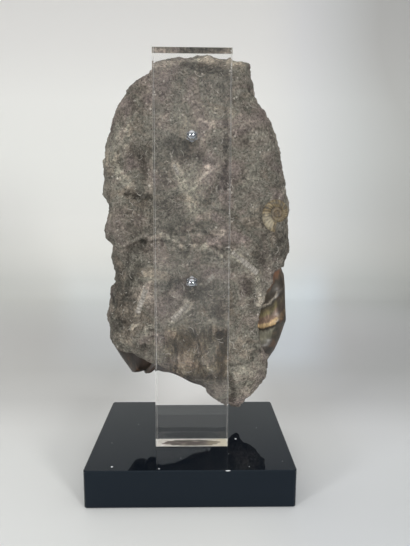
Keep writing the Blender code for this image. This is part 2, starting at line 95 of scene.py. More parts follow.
# How the faces leave the widest line, and how rough they are
BACK_WALL = 13.0
BACK_WALL_REACH = 2.4
BACK_BELLY = 16.0
BACK_BELLY_REACH = 22.0
FRONT_WALL = 8.0
FRONT_WALL_REACH = 4.5
CORNER_REACH = 1.2
CHIP_SIZE = 8.0
CHIP_SHARE = 1.1
LEAST_CHIP = -0.6
FACET_HEIGHT = 1.3
FACET_SIZE = 16.0
WALL_ROUGHNESS = 1.2
GRAIN_HEIGHT = 0.5
GRAIN_SIZE = 11.0
SWELL_HEIGHT = 2.4
SWELL_SIZE = 52.0
FRONT_SWELL_SHARE = 0.6
LAYER_STEP = 1.5
LAYER_RISE = (0.40, 0.60)
LAYER_WANDER = 1.8
LAYER_WANDER_SIZE = 64.0
LAYER_SLOPE_X = 0.030
LAYER_SLOPE_Z = -0.014
MOAT_DEPTH = 1.6
MOAT_REACH = 5.0
SEAT_RADIUS = 10.0
SEAT_REACH = 1.6 * SEAT_RADIUS
SEAT_Y = PLATE_BACK_Y + TOUCH_GAP

# Ledges on the back: points along each, its height towards the plate, and how far it fades out
LEDGES = (
    (((-70, 180), (-58, 191), (-46, 196), (-32, 199), (-19, 198), (-10, 193), (0, 191)), 2.4, 26.0),
    (((1, 197), (14, 194), (25, 190), (43, 180)), -2.2, 20.0),
    (((-69, 237), (-55, 235.5), (-34, 235)), -2.4, 22.0),
    (((-34, 331), (-5, 333), (18, 330), (33, 332), (49, 328)), -2.6, 24.0),
    (((34, 60), (33, 76), (40, 86), (52, 84), (66, 88)), -2.6, 24.0),
)
LEDGE_WIDTH = 0.9

# Rough lump over the bare shell, and the hollows behind the plate's lower part: x, z, reach, height along y
LUMP = (66.0, 189.0, 17.0, -4.6)
HOLLOWS = ((5.0, 106.0, 24.0, 3.4), (0.0, 74.0, 18.0, 4.5))

# Where the matrix has broken away from the great ammonite: x of the edge by z, and z of the edge by x
BARE_RIGHT_Z = (90, 95, 102, 108, 117, 123, 128, 135, 143, 148, 157, 162, 168, 172, 175)
BARE_RIGHT_X = (76, 65, 62, 60, 58, 57, 57.5, 59, 62, 62.5, 65, 70, 70, 73, 86)
BARE_LEFT_X = (-77, -67, -63, -57, -52, -48, -42, -37, -33, -28, -24)
BARE_LEFT_Z = (107, 104, 99, 98, 98.5, 96, 93, 89.5, 86.5, 83, 74)
BREAK_WIDTH = 0.8


def smooth_step(low, high, value):
    """Zero below low, one above high, and an even curve between them."""
    part = np.clip((value - low) / (high - low), 0, 1)
    return part * part * (3 - 2 * part)


def outline_reach(middle_x, middle_z):
    """The slab outline's distance from a point inside it, by angle, for np.interp."""
    corners = sampled_outline(OUTLINE_READINGS)
    angle = np.arctan2(corners[:, 1] - middle_z, corners[:, 0] - middle_x)
    order = np.argsort(angle)
    return angle[order], np.hypot(corners[:, 0] - middle_x, corners[:, 1] - middle_z)[order]


def sampled_outline(count):
    """The slab's outline as evenly spaced points."""
    corners = np.array(SLAB_OUTLINE + SLAB_OUTLINE[:1], float)
    lengths = np.hypot(*np.diff(corners[:, :2], axis=0).T)
    travelled = np.concatenate([[0], np.cumsum(lengths)])
    places = np.linspace(0, travelled[-1], count, endpoint=False)
    return np.stack([np.interp(places, travelled, corners[:, axis]) for axis in range(3)], axis=1)


# How a shell's tube is formed: its section's squareness, its ribs' sharpness and its solid centre; then how
# close to the slab's edge an edge shell takes up that edge, and the stone's floor inside a shell's rim
TUBE_SQUARENESS = 2.4
RIB_SHARPNESS = 1.6
CENTRE_SHARE = 0.02
EDGE_PULL = (0.12, 0.07)
CORE_EDGE = (0.80, 0.70)
CORE_RISE = 0.02


class Coil:
    """A flat spiral shell lying in the slab, with its tube growing by a fixed ratio each turn."""

    def __init__(
        self, x, z, radius, opening, winding, plane, fatness,
        ribs=24, rib_height=0.026, growth=1.9, sweep=0.9, phase=0.0, lean=0.0, at_edge=False,
    ):
        self.x = x
        self.z = z
        self.radius = radius
        self.opening = math.radians(opening)
        self.winding = winding
        self.plane = plane
        self.fatness = fatness
        self.ribs = ribs
        self.rib_height = rib_height
        self.growth = growth
        self.sweep = sweep
        self.phase = phase
        self.lean = lean
        self.edge = outline_reach(x, z) if at_edge else None

    def outer(self, angle):
        """How far the last turn reaches at an angle; it follows the slab's edge where the two are close."""
        turned = np.mod(self.winding * (angle - self.opening), FULL_TURN)
        reach = self.radius * self.growth ** (-turned / FULL_TURN)
        if self.edge is not None:
            ratio = np.interp(angle, *self.edge, period=FULL_TURN) / reach
            reach = reach * (1 + (ratio - 1) * smooth_step(*EDGE_PULL, np.abs(ratio - 1)))
        return turned, reach

    def level(self, x):
        """The y of the shell's middle plane, which leans back towards +x."""
        return self.plane + self.lean * (x - self.x)

    def polar(self, x, z):
        """Each point's distance from the axis, and the last turn's reach in that direction."""
        turned, reach = self.outer(np.arctan2(z - self.z, x - self.x))
        return np.hypot(x - self.x, z - self.z), turned, reach

    def rib(self, turned, across):
        """How much of a rib stands at a place along and across the tube, zero to one."""
        return (0.5 + 0.5 * np.cos(self.ribs * turned + self.sweep * across + self.phase)) ** RIB_SHARPNESS

    def half_thickness(self, x, z):
        """Half the shell's thickness at each point, ribs included, and zero outside the shell."""
        distance, turned, outer = self.polar(x, z)
        distance = np.maximum(distance, CENTRE_SHARE * self.radius)
        turns_in = np.floor(np.log(outer / distance) / math.log(self.growth))
        rim = outer * self.growth ** -turns_in
        across = (2 * distance - rim - rim / self.growth) / (rim - rim / self.growth)
        section = np.sqrt(np.clip(1 - np.abs(across) ** TUBE_SQUARENESS, 0, 1))
        rib = self.rib(turned + FULL_TURN * turns_in, across)
        thickness = rim * section * (self.fatness + self.rib_height * rib)
        return np.where(turns_in >= 0, thickness, 0.0)


GREAT_COIL = Coil(
    12, 143, 101, -172, 1, 27, 0.17, ribs=18, rib_height=0.034, sweep=-3.0, phase=2.79, at_edge=True
)
FRONT_COILS = (
    GREAT_COIL,
    Coil(-20, 284, 44, 60, -1, 28, 0.20, ribs=27, rib_height=0.034, growth=1.85),
    Coil(47, 264, 23, 200, 1, 29, 0.22, rib_height=0.034, growth=1.8),
    Coil(31, 318, 13, -60, -1, 29.5, 0.26),
    Coil(-59, 225, 11, 20, 1, 29.5, 0.26),
    Coil(-3, 230, 8, 140, -1, 29.5, 0.28),
    Coil(62, 229, 9, 80, 1, 29.5, 0.28),
)
BACK_COIL = Coil(71.5, 220.5, 16.5, -100, -1, 1.0, 0.16, ribs=26, growth=2.3, sweep=1.2, lean=0.4)
SHELL_SKIN = 0.6  # the stone lies this far under each shell's surface


def fractal(x, z, size, shift=0.0):
    """Soft noise over the slab's plane, about one to minus one, with its largest lumps of one size."""
    values = [
        noise.fractal(Vector((a / size + shift, b / size, shift)), 1.0, 2.0, 4)
        for a, b in zip(x.tolist(), z.tolist())
    ]
    return np.array(values)


def around(x, z, size, shift):
    """Noise that changes only on the way round the slab's edge."""
    angle = np.arctan2(z - SLAB_MIDDLE[1], x - SLAB_MIDDLE[0])
    places = zip((size * np.cos(angle)).tolist(), (size * np.sin(angle)).tolist())
    return np.array([noise.noise(Vector((a, b, shift))) for a, b in places])


TILT_SCALES = (7.1, 8.3, 9.7)
CREASE_WIDTH = 0.2


def tilt(middle):
    """A direction and steepness that belong to one place."""
    return Vector([2 * noise.noise(middle * scale) for scale in TILT_SCALES])


def facets(points, size):
    """Creased noise: the random cells are tilted each its own way, as where chips have broken off."""
    values = []
    for point in points.tolist():
        place = Vector(point) / size
        distances, middles = noise.voronoi(place)
        first, second = [tilt(middle).dot(place - middle) for middle in middles[:2]]
        share = min(1.0, (distances[1] - distances[0]) / CREASE_WIDTH)
        values.append(first * (0.5 + 0.5 * share) + second * (0.5 - 0.5 * share))
    return np.array(values)


def line_distance(x, z, points):
    """Distance from each point to a line through points, and on which side it lies: plus is to its left."""
    nearest = np.full(x.shape, np.inf)
    side = np.ones(x.shape)
    for (ax, az), (bx, bz) in zip(points[:-1], points[1:]):
        run_x = bx - ax
        run_z = bz - az
        along = np.clip(((x - ax) * run_x + (z - az) * run_z) / (run_x**2 + run_z**2), 0, 1)
        away_x = x - ax - along * run_x
        away_z = z - az - along * run_z
        distance = np.hypot(away_x, away_z)
        closer = distance < nearest
        nearest = np.where(closer, distance, nearest)
        side = np.where(closer, np.sign(run_x * away_z - run_z * away_x), side)
    return nearest, np.where(side == 0, 1.0, side)


def inset_from_edge(x, z):
    """How far inside the slab's outline each point lies."""
    corners = [(corner[0], corner[1]) for corner in SLAB_OUTLINE + SLAB_OUTLINE[:1]]
    return line_distance(x, z, corners)[0]


def bump(x, z, place):
    """A round mound or hollow: its middle's x and z, its reach, and its height along y."""
    middle_x, middle_z, reach, height = place
    return height * np.exp(-(((x - middle_x) ** 2 + (z - middle_z) ** 2) / reach**2))


def ledge(x, z, points, height, fade):
    """A step along a line: the surface moves towards the plate on its left and fades back."""
    distance, side = line_distance(x, z, points)
    step = smooth_step(-LEDGE_WIDTH, LEDGE_WIDTH, distance * side)
    return -height * step * np.exp(-((distance / fade) ** 2))


def layered(x, z):
    """The shallow terraces left where thin beds have split off."""
    wander = LAYER_WANDER * fractal(x, z, LAYER_WANDER_SIZE, shift=7.0)
    level = LAYER_SLOPE_X * x + LAYER_SLOPE_Z * z + wander
    whole = np.floor(level)
    return LAYER_STEP * (whole + smooth_step(*LAYER_RISE, level - whole) - level)


def bare_shell(x, z):
    """One where the matrix has broken away from the great ammonite on the back, zero elsewhere."""
    right = smooth_step(-BREAK_WIDTH, BREAK_WIDTH, x - np.interp(z, BARE_RIGHT_Z, BARE_RIGHT_X))
    right = right * ((z > BARE_RIGHT_Z[0]) & (z < BARE_RIGHT_Z[-1]))
    left = smooth_step(-BREAK_WIDTH, BREAK_WIDTH, np.interp(x, BARE_LEFT_X, BARE_LEFT_Z) - z)
    left = left * (x < BARE_LEFT_X[-1])
    return np.maximum(right, left)


def chipped(reach, x, z, shift):
    """A wall's reach that changes round the edge, where larger and smaller chips have come off."""
    return reach * (1 + CHIP_SHARE * np.maximum(around(x, z, CHIP_SIZE, shift), LEAST_CHIP))


def back_face(x, z, rim, inset):
    """The y of the slab's back, which faces the plate."""
    wall = 1 - np.exp(-inset / chipped(BACK_WALL_REACH, x, z, shift=1.5))
    y = rim - BACK_WALL * wall - BACK_BELLY * (1 - np.exp(-inset / BACK_BELLY_REACH))
    y = y + wall * (SWELL_HEIGHT * fractal(x, z, SWELL_SIZE, shift=3.0) + layered(x, z))
    for points, height, fade in LEDGES:
        y = y + wall * ledge(x, z, points, height, fade)
    y = y + wall * bump(x, z, LUMP)
    for hollow in HOLLOWS:
        y = y + wall * bump(x, z, hollow)
    distance, _, outer = BACK_COIL.polar(x, z)
    coil = BACK_COIL.level(x) - BACK_COIL.half_thickness(x, z) + SHELL_SKIN
    y = np.where(distance < outer, np.minimum(y, coil), y)
    shell = GREAT_COIL.plane - GREAT_COIL.half_thickness(x, z) + SHELL_SKIN
    y = y + bare_shell(x, z) * (shell - y)
    for height in STUD_HEIGHTS:
        seat = smooth_step(SEAT_REACH, SEAT_RADIUS, np.hypot(x - STUD_X, z - height))
        y = y + seat * (SEAT_Y - y)
    return np.maximum(rim + (y - rim) * (1 - np.exp(-inset / CORNER_REACH)), SEAT_Y)


def front_face(x, z, rim, inset):
    """The y of the slab's far face, with the ammonites standing out of it."""
    wall = 1 - np.exp(-inset / chipped(FRONT_WALL_REACH, x, z, shift=5.5))
    swell = SWELL_HEIGHT * FRONT_SWELL_SHARE * fractal(x, z, SWELL_SIZE, shift=11.0)
    y = rim + wall * (FRONT_WALL + swell)
    for coil in FRONT_COILS:
        distance, _, outer = coil.polar(x, z)
        y = y - MOAT_DEPTH * np.exp(-np.maximum(distance - outer, 0) / MOAT_REACH)
        floor = coil.plane + CORE_RISE * coil.radius
        y = y + smooth_step(*CORE_EDGE, distance / outer) * (floor - y)
        shell = coil.plane + coil.half_thickness(x, z) - SHELL_SKIN
        y = np.where(distance < outer, np.maximum(y, shell), y)
    return rim + (y - rim) * (1 - np.exp(-inset / CORNER_REACH))


def slab_sheets():
    """The slab as rings of points: its back sheet, its rim and its far sheet, as one closed mesh."""
    outline = sampled_outline(OUTLINE_SAMPLES)
    fractions = np.sin(np.linspace(0, math.pi / 2, SLAB_RINGS + 1))[1:]
    spokes = outline[None, :, :2] - np.array(SLAB_MIDDLE)
    flat = np.array(SLAB_MIDDLE) + spokes * fractions[:, None, None]
    x = np.concatenate([flat[..., 0].ravel(), SLAB_MIDDLE[:1]])
    z = np.concatenate([flat[..., 1].ravel(), SLAB_MIDDLE[1:]])
    rim = SLAB_MEAN_RIM_Y + (outline[None, :, 2] - SLAB_MEAN_RIM_Y) * fractions[:, None] ** 2
    rim = np.concatenate([rim.ravel(), [SLAB_MEAN_RIM_Y]])
    inset = inset_from_edge(x, z)
    inset[-1 - OUTLINE_SAMPLES:-1] = 0.0
    back = np.stack([x, back_face(x, z, rim, inset), z], axis=1)
    front = np.stack([x, front_face(x, z, rim, inset), z], axis=1)
    edge_start = (SLAB_RINGS - 1) * OUTLINE_SAMPLES
    count = len(x)
    front_index = np.arange(count) + count
    front_index[edge_start:edge_start + OUTLINE_SAMPLES] -= count
    ring, step = np.meshgrid(np.arange(SLAB_RINGS - 1), np.arange(OUTLINE_SAMPLES), indexing="ij")
    a = (ring * OUTLINE_SAMPLES + step).ravel()
    b = (ring * OUTLINE_SAMPLES + (step + 1) % OUTLINE_SAMPLES).ravel()
    back_faces = np.stack([a, b, b + OUTLINE_SAMPLES, a + OUTLINE_SAMPLES], axis=1)
    faces = [tuple(face) for face in back_faces.tolist()]
    faces += [tuple(face) for face in front_index[back_faces[:, ::-1]].tolist()]
    for here in range(OUTLINE_SAMPLES):
        after = (here + 1) % OUTLINE_SAMPLES
        faces.append((here, count - 1, after))
        faces.append((count + here, count + after, 2 * count - 1))
    return np.concatenate([back, front]) * MM, faces


def fill_ramp(ramp, stops):
    """Sets a colour ramp's places and colours."""
    for place, _ in stops[1:-1]:
        ramp.elements.new(place)
    for element, (place, color) in zip(ramp.elements, stops):
        element.position = place
        element.color = (*color, 1.0)


class Look:
    """A node material with short ways to add the nodes it needs."""

    def __init__(self, name):
        self.material = bpy.data.materials.new(name)
        self.material.use_nodes = True
        self.nodes = self.material.node_tree.nodes
        self.links = self.material.node_tree.links
        self.shader = self.nodes["Principled BSDF"]
        self.place = self.nodes.new("ShaderNodeTexCoord").outputs["Object"]

    def set(self, socket, value):
        """Links an output to an input, or sets the input to a plain value."""
        if isinstance(value, bpy.types.NodeSocket):
            self.links.new(value, socket)
        elif hasattr(value, "__len__") and len(value) == 3 and socket.type == "RGBA":
            socket.default_value = (*value, 1.0)
        else:
            socket.default_value = value

    def node(self, kind, inputs=(), **settings):
        """Adds a node with its inputs and settings."""
        made = self.nodes.new(kind)
        for name, value in settings.items():
            setattr(made, name, value)
        for name, value in dict(inputs).items():
            self.set(made.inputs[name], value)
        return made

    def principled(self, **values):
        """Sets the shader's sockets, named with underscores for spaces."""
        for name, value in values.items():
            self.set(self.shader.inputs[name.replace("_", " ")], value)
        return self.material

    def noise(self, scale, detail=4.0, roughness=0.6, distortion=0.0, stretch=None):
        """Soft noise about one half, with its largest lumps of one part in scale of a metre."""
        place = self.place
        if stretch:
            place = self.node("ShaderNodeMapping", {"Vector": place, "Scale": stretch}).outputs[0]
        inputs = {"Vector": place, "Scale": scale, "Detail": detail, "Roughness": roughness}
        inputs["Distortion"] = distortion
        return self.node("ShaderNodeTexNoise", inputs).outputs["Fac"]

    def cells(self, scale):
        """The distance to the nearest of many scattered middles."""
        return self.node("ShaderNodeTexVoronoi", {"Vector": self.place, "Scale": scale}).outputs["Distance"]

    def attribute(self, name):
        """A number stored on the mesh's points."""
        return self.node("ShaderNodeAttribute", attribute_name=name).outputs["Fac"]

    def axis(self, vector, name):
        """One coordinate of a vector."""
        return self.node("ShaderNodeSeparateXYZ", {"Vector": vector}).outputs[name]

    def math(self, operation, a, b=0.0, third=0.0):
        """One step of arithmetic on outputs or plain numbers."""
        made = self.node("ShaderNodeMath", operation=operation)
        for socket, value in zip(made.inputs, (a, b, third)):
            self.set(socket, value)
        return made.outputs[0]

    def plus(self, a, b):
        return self.math("ADD", a, b)

    def times(self, a, b):
        return self.math("MULTIPLY", a, b)

    def span(self, value, low, high, out_low=0.0, out_high=1.0):
        """The value's place between low and high, clamped and eased, mapped to another span."""
        inputs = {"Value": value, "From Min": low, "From Max": high, "To Min": out_low, "To Max": out_high}
        return self.node("ShaderNodeMapRange", inputs, interpolation_type="SMOOTHSTEP").outputs[0]

    def mix(self, factor, a, b, blend="MIX"):
        """The first colour turned into the second by a factor."""
        made = self.node("ShaderNodeMix", data_type="RGBA", blend_type=blend)
        self.set(made.inputs[0], factor)
        self.set(made.inputs[6], a)
        self.set(made.inputs[7], b)
        return made.outputs[2]

    def grade(self, value, stops):
        """A colour ramp: places and colours."""
        made = self.node("ShaderNodeValToRGB", {"Fac": value})
        fill_ramp(made.color_ramp, stops)
        return made.outputs["Color"]

    def toned(self, color, value, stops):
        """The colour multiplied by a colour ramp."""
        return self.mix(1.0, color, self.grade(value, stops), "MULTIPLY")

    def bump(self, height, distance, strength=1.0, under=None):
        """A fine relief, on top of another one where that is given."""
        inputs = {"Height": height, "Distance": distance, "Strength": strength}
        if under is not None:
            inputs["Normal"] = under
        return self.node("ShaderNodeBump", inputs).outputs["Normal"]


def linked(name, data):
    """A new object in the scene that shows a mesh, a light or a camera."""
    obj = bpy.data.objects.new(name, data)
    bpy.context.scene.collection.objects.link(obj)
    return obj


def new_object(name, points, faces, material):
    """A mesh object from points in metres."""
    mesh = bpy.data.meshes.new(name)
    mesh.from_pydata([tuple(p) for p in np.asarray(points).tolist()], [], faces)
    mesh.update()
    mesh.materials.append(material)
    return linked(name, mesh)


def freed_mesh(name, bm):
    """The bmesh as a mesh; the bmesh itself is freed."""
    mesh = bpy.data.meshes.new(name)
    bm.to_mesh(mesh)
    bm.free()
    return mesh


def skin_rows(bm, rows):
    """Adds the faces between each closed row of points and the next."""
    for low, high in zip(rows[:-1], rows[1:]):
        for step in range(len(low)):
            after = (step + 1) % len(low)
            bm.faces.new((low[step], low[after], high[after], high[step]))


def baked_mesh(obj):
    """The object's mesh with its modifiers applied; the object itself is removed."""
    graph = bpy.context.evaluated_depsgraph_get()
    mesh = bpy.data.meshes.new_from_object(obj.evaluated_get(graph))
    bpy.data.objects.remove(obj)
    return mesh


def set_attribute(mesh, name, values):
    """Stores one number for each of the mesh's points."""
    mesh.attributes.new(name, "FLOAT", "POINT").data.foreach_set("value", np.asarray(values, np.float32))


def vertex_arrays(mesh):
    """The mesh's points in millimetres, and their normals."""
    points = np.empty(len(mesh.vertices) * 3)
    mesh.vertices.foreach_get("co", points)
    normals = np.empty(len(mesh.vertices) * 3)
    mesh.vertex_normals.foreach_get("vector", normals)
    return points.reshape(-1, 3) / MM, normals.reshape(-1, 3)


# Marks on the back: points of x and z, half width, tone from -1 (dark) to 1 (pale), and height
# towards the plate. A few are painted shade, shadows and a highlight, each noted above its line.
MARKS = (
    (((-75, 268), (-62, 255), (-52, 243.5)), 4.4, 0.75, 0.5),
    (((-57, 291), (-56.5, 289)), 1.3, 1.0, 0.2),
    (((-53.5, 286), (-51, 290), (-49, 293)), 1.2, 1.0, 0.2),
    (((-53, 273), (-52, 272.5)), 1.8, 0.9, 0.2),
    (((-51.4, 121.6), (-50, 125), (-44.4, 126.2)), 0.9, 1.0, 0.2),
    (((-2, 302), (1, 305.5), (6, 306), (9.5, 303), (8, 299.5), (2, 298.5), (-2, 302)), 0.8, 0.45, 0.1),
    (((-68, 260), (-61, 265), (-52, 268.5)), 2.2, 0.55, 0.3),
    (((-64, 262), (-58, 256)), 1.6, 0.5, 0.2),
    (((-13, 257), (-7, 244), (-1, 231), (1, 226)), 3.4, 0.8, 0.3),
    (((14, 256), (8, 249), (1, 240)), 3.0, 0.8, 0.3),
    (((-2, 228), (4, 221), (13, 217)), 4.0, 0.45, 0.2),
    (((2, 294), (9, 291), (17, 287.5)), 1.2, 0.6, 0.2),
    (((6.5, 273), (12, 283), (17, 291)), 1.2, 0.6, 0.2),
    (((-34, 199), (-24, 203), (-15, 200), (-5, 192)), 1.6, 0.7, 0.5),
    (((8, 191.5), (17.5, 198), (27, 205.5)), 2.2, 0.6, 0.4),
    (((-1, 195), (10, 195), (20, 189), (25, 185)), 1.3, 0.85, 0.5),
    (((-58, 192.5), (-46, 198), (-36, 203)), 1.4, 0.35, 0.2),
    # Painted shade under the overhang of the ledge just above.
    (((-52, 190), (-44, 195), (-36, 198), (-24, 196)), 2.6, -0.45, -0.3),
    (((1, 206), (10, 205), (22, 200), (32, 190)), 1.6, -0.6, -0.3),
    (((-2, 196), (-3, 190), (-6, 184)), 1.2, -0.5, -0.3),
    (((52, 174), (56, 160.5), (58, 147)), 2.4, 0.6, 0.3),
    (((-15, 155.5), (-9, 152), (-4.5, 149)), 3.2, 0.6, 0.3),
    (((-16, 132.5), (-9, 139), (-1.5, 146.5)), 3.6, 0.75, 0.6),
    (((-46, 136), (-42, 147), (-38, 157.5)), 3.2, 0.7, 0.5),
    (((33, 189), (44, 180), (55.5, 170)), 3.4, 0.7, 0.5),
    (((10, 162.5), (14, 166), (18.5, 170)), 2.8, 0.6, 0.4),
    (((-37, 173), (-34, 158), (-33, 148)), 4.5, 0.45, 0.0),
    (((-31, 262), (-36, 240), (-36, 215)), 2.6, 0.3, 0.0),
    (((17, 132), (20.5, 128.3), (23, 125)), 2.6, 0.55, 0.2),
    (((-63, 138.5), (-58.5, 133), (-54, 138.5), (-62, 138.5)), 1.4, 0.5, 0.2),
    (((-38.5, 124), (-30, 125.8), (-29.5, 118.5), (-38, 116.5), (-38.5, 124)), 2.0, 0.7, 0.4),
    (((-40, 265), (-37, 240), (-34, 214)), 3.0, -0.35, -0.3),
    # Painted shade along the ledge at z 235.
    (((-55, 236), (-44.5, 233.5), (-33.7, 233)), 2.2, -0.8, -0.5),
    (((2, 197.6), (14, 194), (25, 190)), 2.2, -0.55, -0.3),
    (((-44, 190), (-28, 192), (-16, 188)), 3.4, -0.35, -0.2),
    (((-20, 150), (-12, 168), (2, 176)), 5.0, -0.3, -0.2),
    # Painted shadow under the slab's top edge.
    (((-5, 336), (8, 333), (20, 331)), 4.5, -0.55, -0.3),
    # Painted highlight on the top edge's upward facet, paler as if lit from above.
    (((-30, 333), (-6, 340), (20, 340), (38, 340)), 2.6, 0.5, 0.0),
    # Painted shadow of the plate's right edge on the stone.
    (((26, 300), (27, 262), (26, 222)), 2.0, -0.35, -0.2),
    (((33.5, 80), (37, 70), (36.5, 56)), 2.4, -0.7, -0.5),
    (((42, 82), (52, 74), (56, 62)), 9.0, 0.5, 0.0),
    (((70, 86), (68, 75), (57, 62), (47, 47)), 3.4, -0.55, 0.0),
    (((45, 166), (50, 150), (52, 138)), 4.0, -0.4, -0.3),
    (((60, 186), (70, 190), (78, 196)), 8.0, -0.3, 0.0),
    (((-60, 230), (-66, 222), (-70, 214)), 3.4, 0.3, 0.2),
    (((-56, 150), (-50, 168), (-40, 176)), 4.0, -0.3, -0.2),
    (((56.5, 143), (60.5, 145), (63, 147)), 2.9, 0.85, 0.7),
)

# Broad soft tones on the back: x, z, reach along x, reach along z, tone. A few are painted shade and
# shadows, each noted above its line.
BROAD_TONES = (
    (-48, 226, 14, 14, -0.45), (-44, 200, 12, 12, -0.40), (-62, 260, 8, 6, -0.20), (-46, 268, 8, 16, -0.30),
    # (0, 327) is the painted shadow under the slab's top edge.
    (-44, 312, 10, 16, -0.35), (-55, 318, 6, 10, -0.20), (0, 327, 18, 8, -0.32), (26, 318, 7, 9, -0.25),
    # (0.6, 267) and (0.6, 158) are painted shade round the nuts; (28, 255) is the painted shadow of the
    # plate's right edge.
    (0.6, 267, 11, 7, -0.70), (0.6, 158, 11, 6, -0.70), (-20, 252, 8, 12, -0.35), (28, 255, 5, 26, -0.40),
    (-20, 228, 8, 8, -0.40), (-12, 207, 9, 8, -0.55), (70, 202, 20, 7, -0.50), (70, 246, 8, 6, -0.30),
    (0, 160, 24, 10, -0.42), (24, 146, 8, 14, -0.40), (-62, 132, 7, 8, -0.25), (-34, 116, 6, 12, -0.30),
    (-50, 175, 14, 12, -0.22), (-60, 142, 16, 24, -0.25), (0, 141, 30, 12, -0.42),
    (45, 268, 9, 8, 0.15), (44, 126, 12, 28, 0.18), (-58, 280, 8, 8, 0.20),
    (8, 238, 12, 10, 0.20), (48, 60, 15, 13, 0.45), (-2, 118, 4, 8, 0.35), (14, 92, 8, 5, 0.35),
    (-25, 172, 7, 26, 0.12), (-20, 92, 10, 8, 0.10), (-60, 292, 18, 38, 0.17), (-60, 130, 20, 28, -0.30),
    (-14, 112, 7, 9, -0.35), (4, 116, 6, 9, -0.45), (-14, 86, 10, 7, 0.25),
)

# Half-sunk sea lily stems on the back: from x, z to x, z, and their radius
STEMS = (
    ((33.5, 188.5), (55, 170.4), 2.9),
    ((-45.5, 136.5), (-37.8, 157), 2.7),
    ((-15.6, 133.2), (-2.2, 146.0), 2.5),
    ((10.6, 162.8), (18.0, 169.8), 2.1),
    ((-14, 258), (-10, 250), 1.9),
)
DISC_PITCH = 2.6

# The brown stain behind the plate: where it comes in on the left, ends on the right and fades at its top and
# foot, and how far and how finely its edges wander
STAIN_LEFT = (-29.0, -15.0)
STAIN_RIGHT = (30.8, 30.0)
STAIN_TOP = (133.0, 118.0)
STAIN_FOOT = (68.0, 84.0)
STAIN_WANDER = 4.0
STAIN_WANDER_SIZE = 14.0

# How far and how finely the marks' edges wander, how many half widths they reach while they fade, and how
# many times as far the broad tones wander
MARK_WANDER = 1.3
MARK_WANDER_SIZE = 9.0
MARK_EDGE = (1.25, 0.55)
TONE_WANDER = 3

# The stone's fine relief: sizes and heights, and how much of it is kept on the shells and at the thin corner
ROCK_VOXEL = 1.18
RIDGE_SIZE = 5.0
RIDGE_HEIGHT = 0.28
FINE_SIZE = 3.4
FINE_HEIGHT = 0.34
SMALL_FACET_SIZE = 5.5
SMALL_FACET_HEIGHT = 0.75
FINE_WALL_ROUGHNESS = 0.5
BARE_CALM = 0.9
BACK_COIL_KEEP = 0.12
FRONT_COIL_KEEP = 0.1
CALM_CORNER = (-45.0, 77.0)
CALM_REACH = (5.0, 13.0)
RELIEF_OF_FORM = 0.35


def limestone_look():
    """Grey-brown stone with patches, speckle, pits, pale flecks and streaks, and the painted marks; painted
    shade darkens the low parts of its relief and a painted highlight pales its high parts.
    """
    look = Look("limestone")
    relief = look.attribute("relief")
    mark = look.attribute("mark")
    stain = look.attribute("stain")
    tint = look.noise(26.0, 5.0, 0.6, 1.2)
    tone = look.grade(tint, (
        (0.36, (0.190, 0.159, 0.145)),
        (0.46, (0.183, 0.161, 0.136)),
        (0.54, (0.162, 0.156, 0.131)),
        (0.62, (0.198, 0.172, 0.140)),
    ))
    patches = look.noise(62.0, 4.0, 0.60, 0.8)
    tone = look.toned(tone, patches, (
        (0.34, (0.56, 0.55, 0.54)),
        (0.50, (0.94, 0.94, 0.94)),
        (0.66, (1.38, 1.37, 1.35)),
    ))
    grains = look.noise(520.0, 4.0, 0.70, 0.4)
    tone = look.toned(tone, grains, (
        (0.34, (0.42, 0.41, 0.40)),
        (0.50, (0.94, 0.94, 0.94)),
        (0.66, (1.70, 1.68, 1.64)),
    ))
    busy = look.span(look.noise(34.0, 3.0, 0.55), 0.42, 0.60)
    ridge = look.math("ABSOLUTE", look.math("SUBTRACT", look.noise(110.0, 3.0, 0.55, 2.2), 0.5))
    streak = look.times(look.span(ridge, 0.030, 0.006), busy)
    tone = look.mix(look.times(streak, 0.60), tone, (0.420, 0.385, 0.330))
    flecks = look.span(look.cells(170.0), 0.20, 0.11)
    flecks = look.times(flecks, look.span(look.noise(60.0), 0.48, 0.56))
    tone = look.mix(look.times(flecks, 0.75), tone, (0.500, 0.465, 0.410))
    ragged = look.times(mark, look.span(look.noise(230.0, 5.0, 0.75), 0.36, 0.60, 0.30, 1.30))
    tone = look.toned(tone, look.math("MULTIPLY_ADD", ragged, 0.5, third=0.5), (
        (0.0, (0.20, 0.19, 0.18)),
        (0.3, (0.60, 0.59, 0.58)),
        (0.5, (1.0, 1.0, 1.0)),
        (0.75, (1.60, 1.60, 1.58)),
        (1.0, (2.05, 2.05, 2.00)),
    ))
    streaky = look.noise(100.0, 5.0, 0.65, 0.8, stretch=(1.0, 1.0, 0.22))
    brown = look.grade(streaky, (
        (0.36, (0.09, 0.068, 0.044)),
        (0.49, (0.34, 0.275, 0.195)),
        (0.60, (1.20, 1.10, 0.96)),
    ))
    stain = look.times(stain, look.span(look.noise(42.0, 3.0, 0.5), 0.34, 0.50, 0.35, 1.0))
    tone = look.mix(stain, tone, look.mix(1.0, tone, brown, "MULTIPLY"))
    # Painted shade darkens the low parts of the relief, and a painted highlight pales its high parts.
    tone = look.mix(look.span(relief, -0.10, -1.0, 0.0, 0.72), tone, (0.034, 0.030, 0.026))
    tone = look.mix(look.span(relief, 0.3, 1.3, 0.0, 0.35), tone, (0.340, 0.310, 0.268))
    pits = look.span(look.cells(330.0), 0.10, 0.22, 0.80, 0.0)
    tone = look.mix(pits, tone, (0.026, 0.023, 0.020))
    height = look.plus(grains, look.times(look.noise(620.0, 4.0, 0.7), 0.45))
    height = look.plus(height, look.times(streak, 0.35))
    normal = look.bump(height, 0.0014, 1.0)
    return look.principled(Base_Color=tone, Roughness=0.84, Normal=normal, Specular_IOR_Level=0.35)


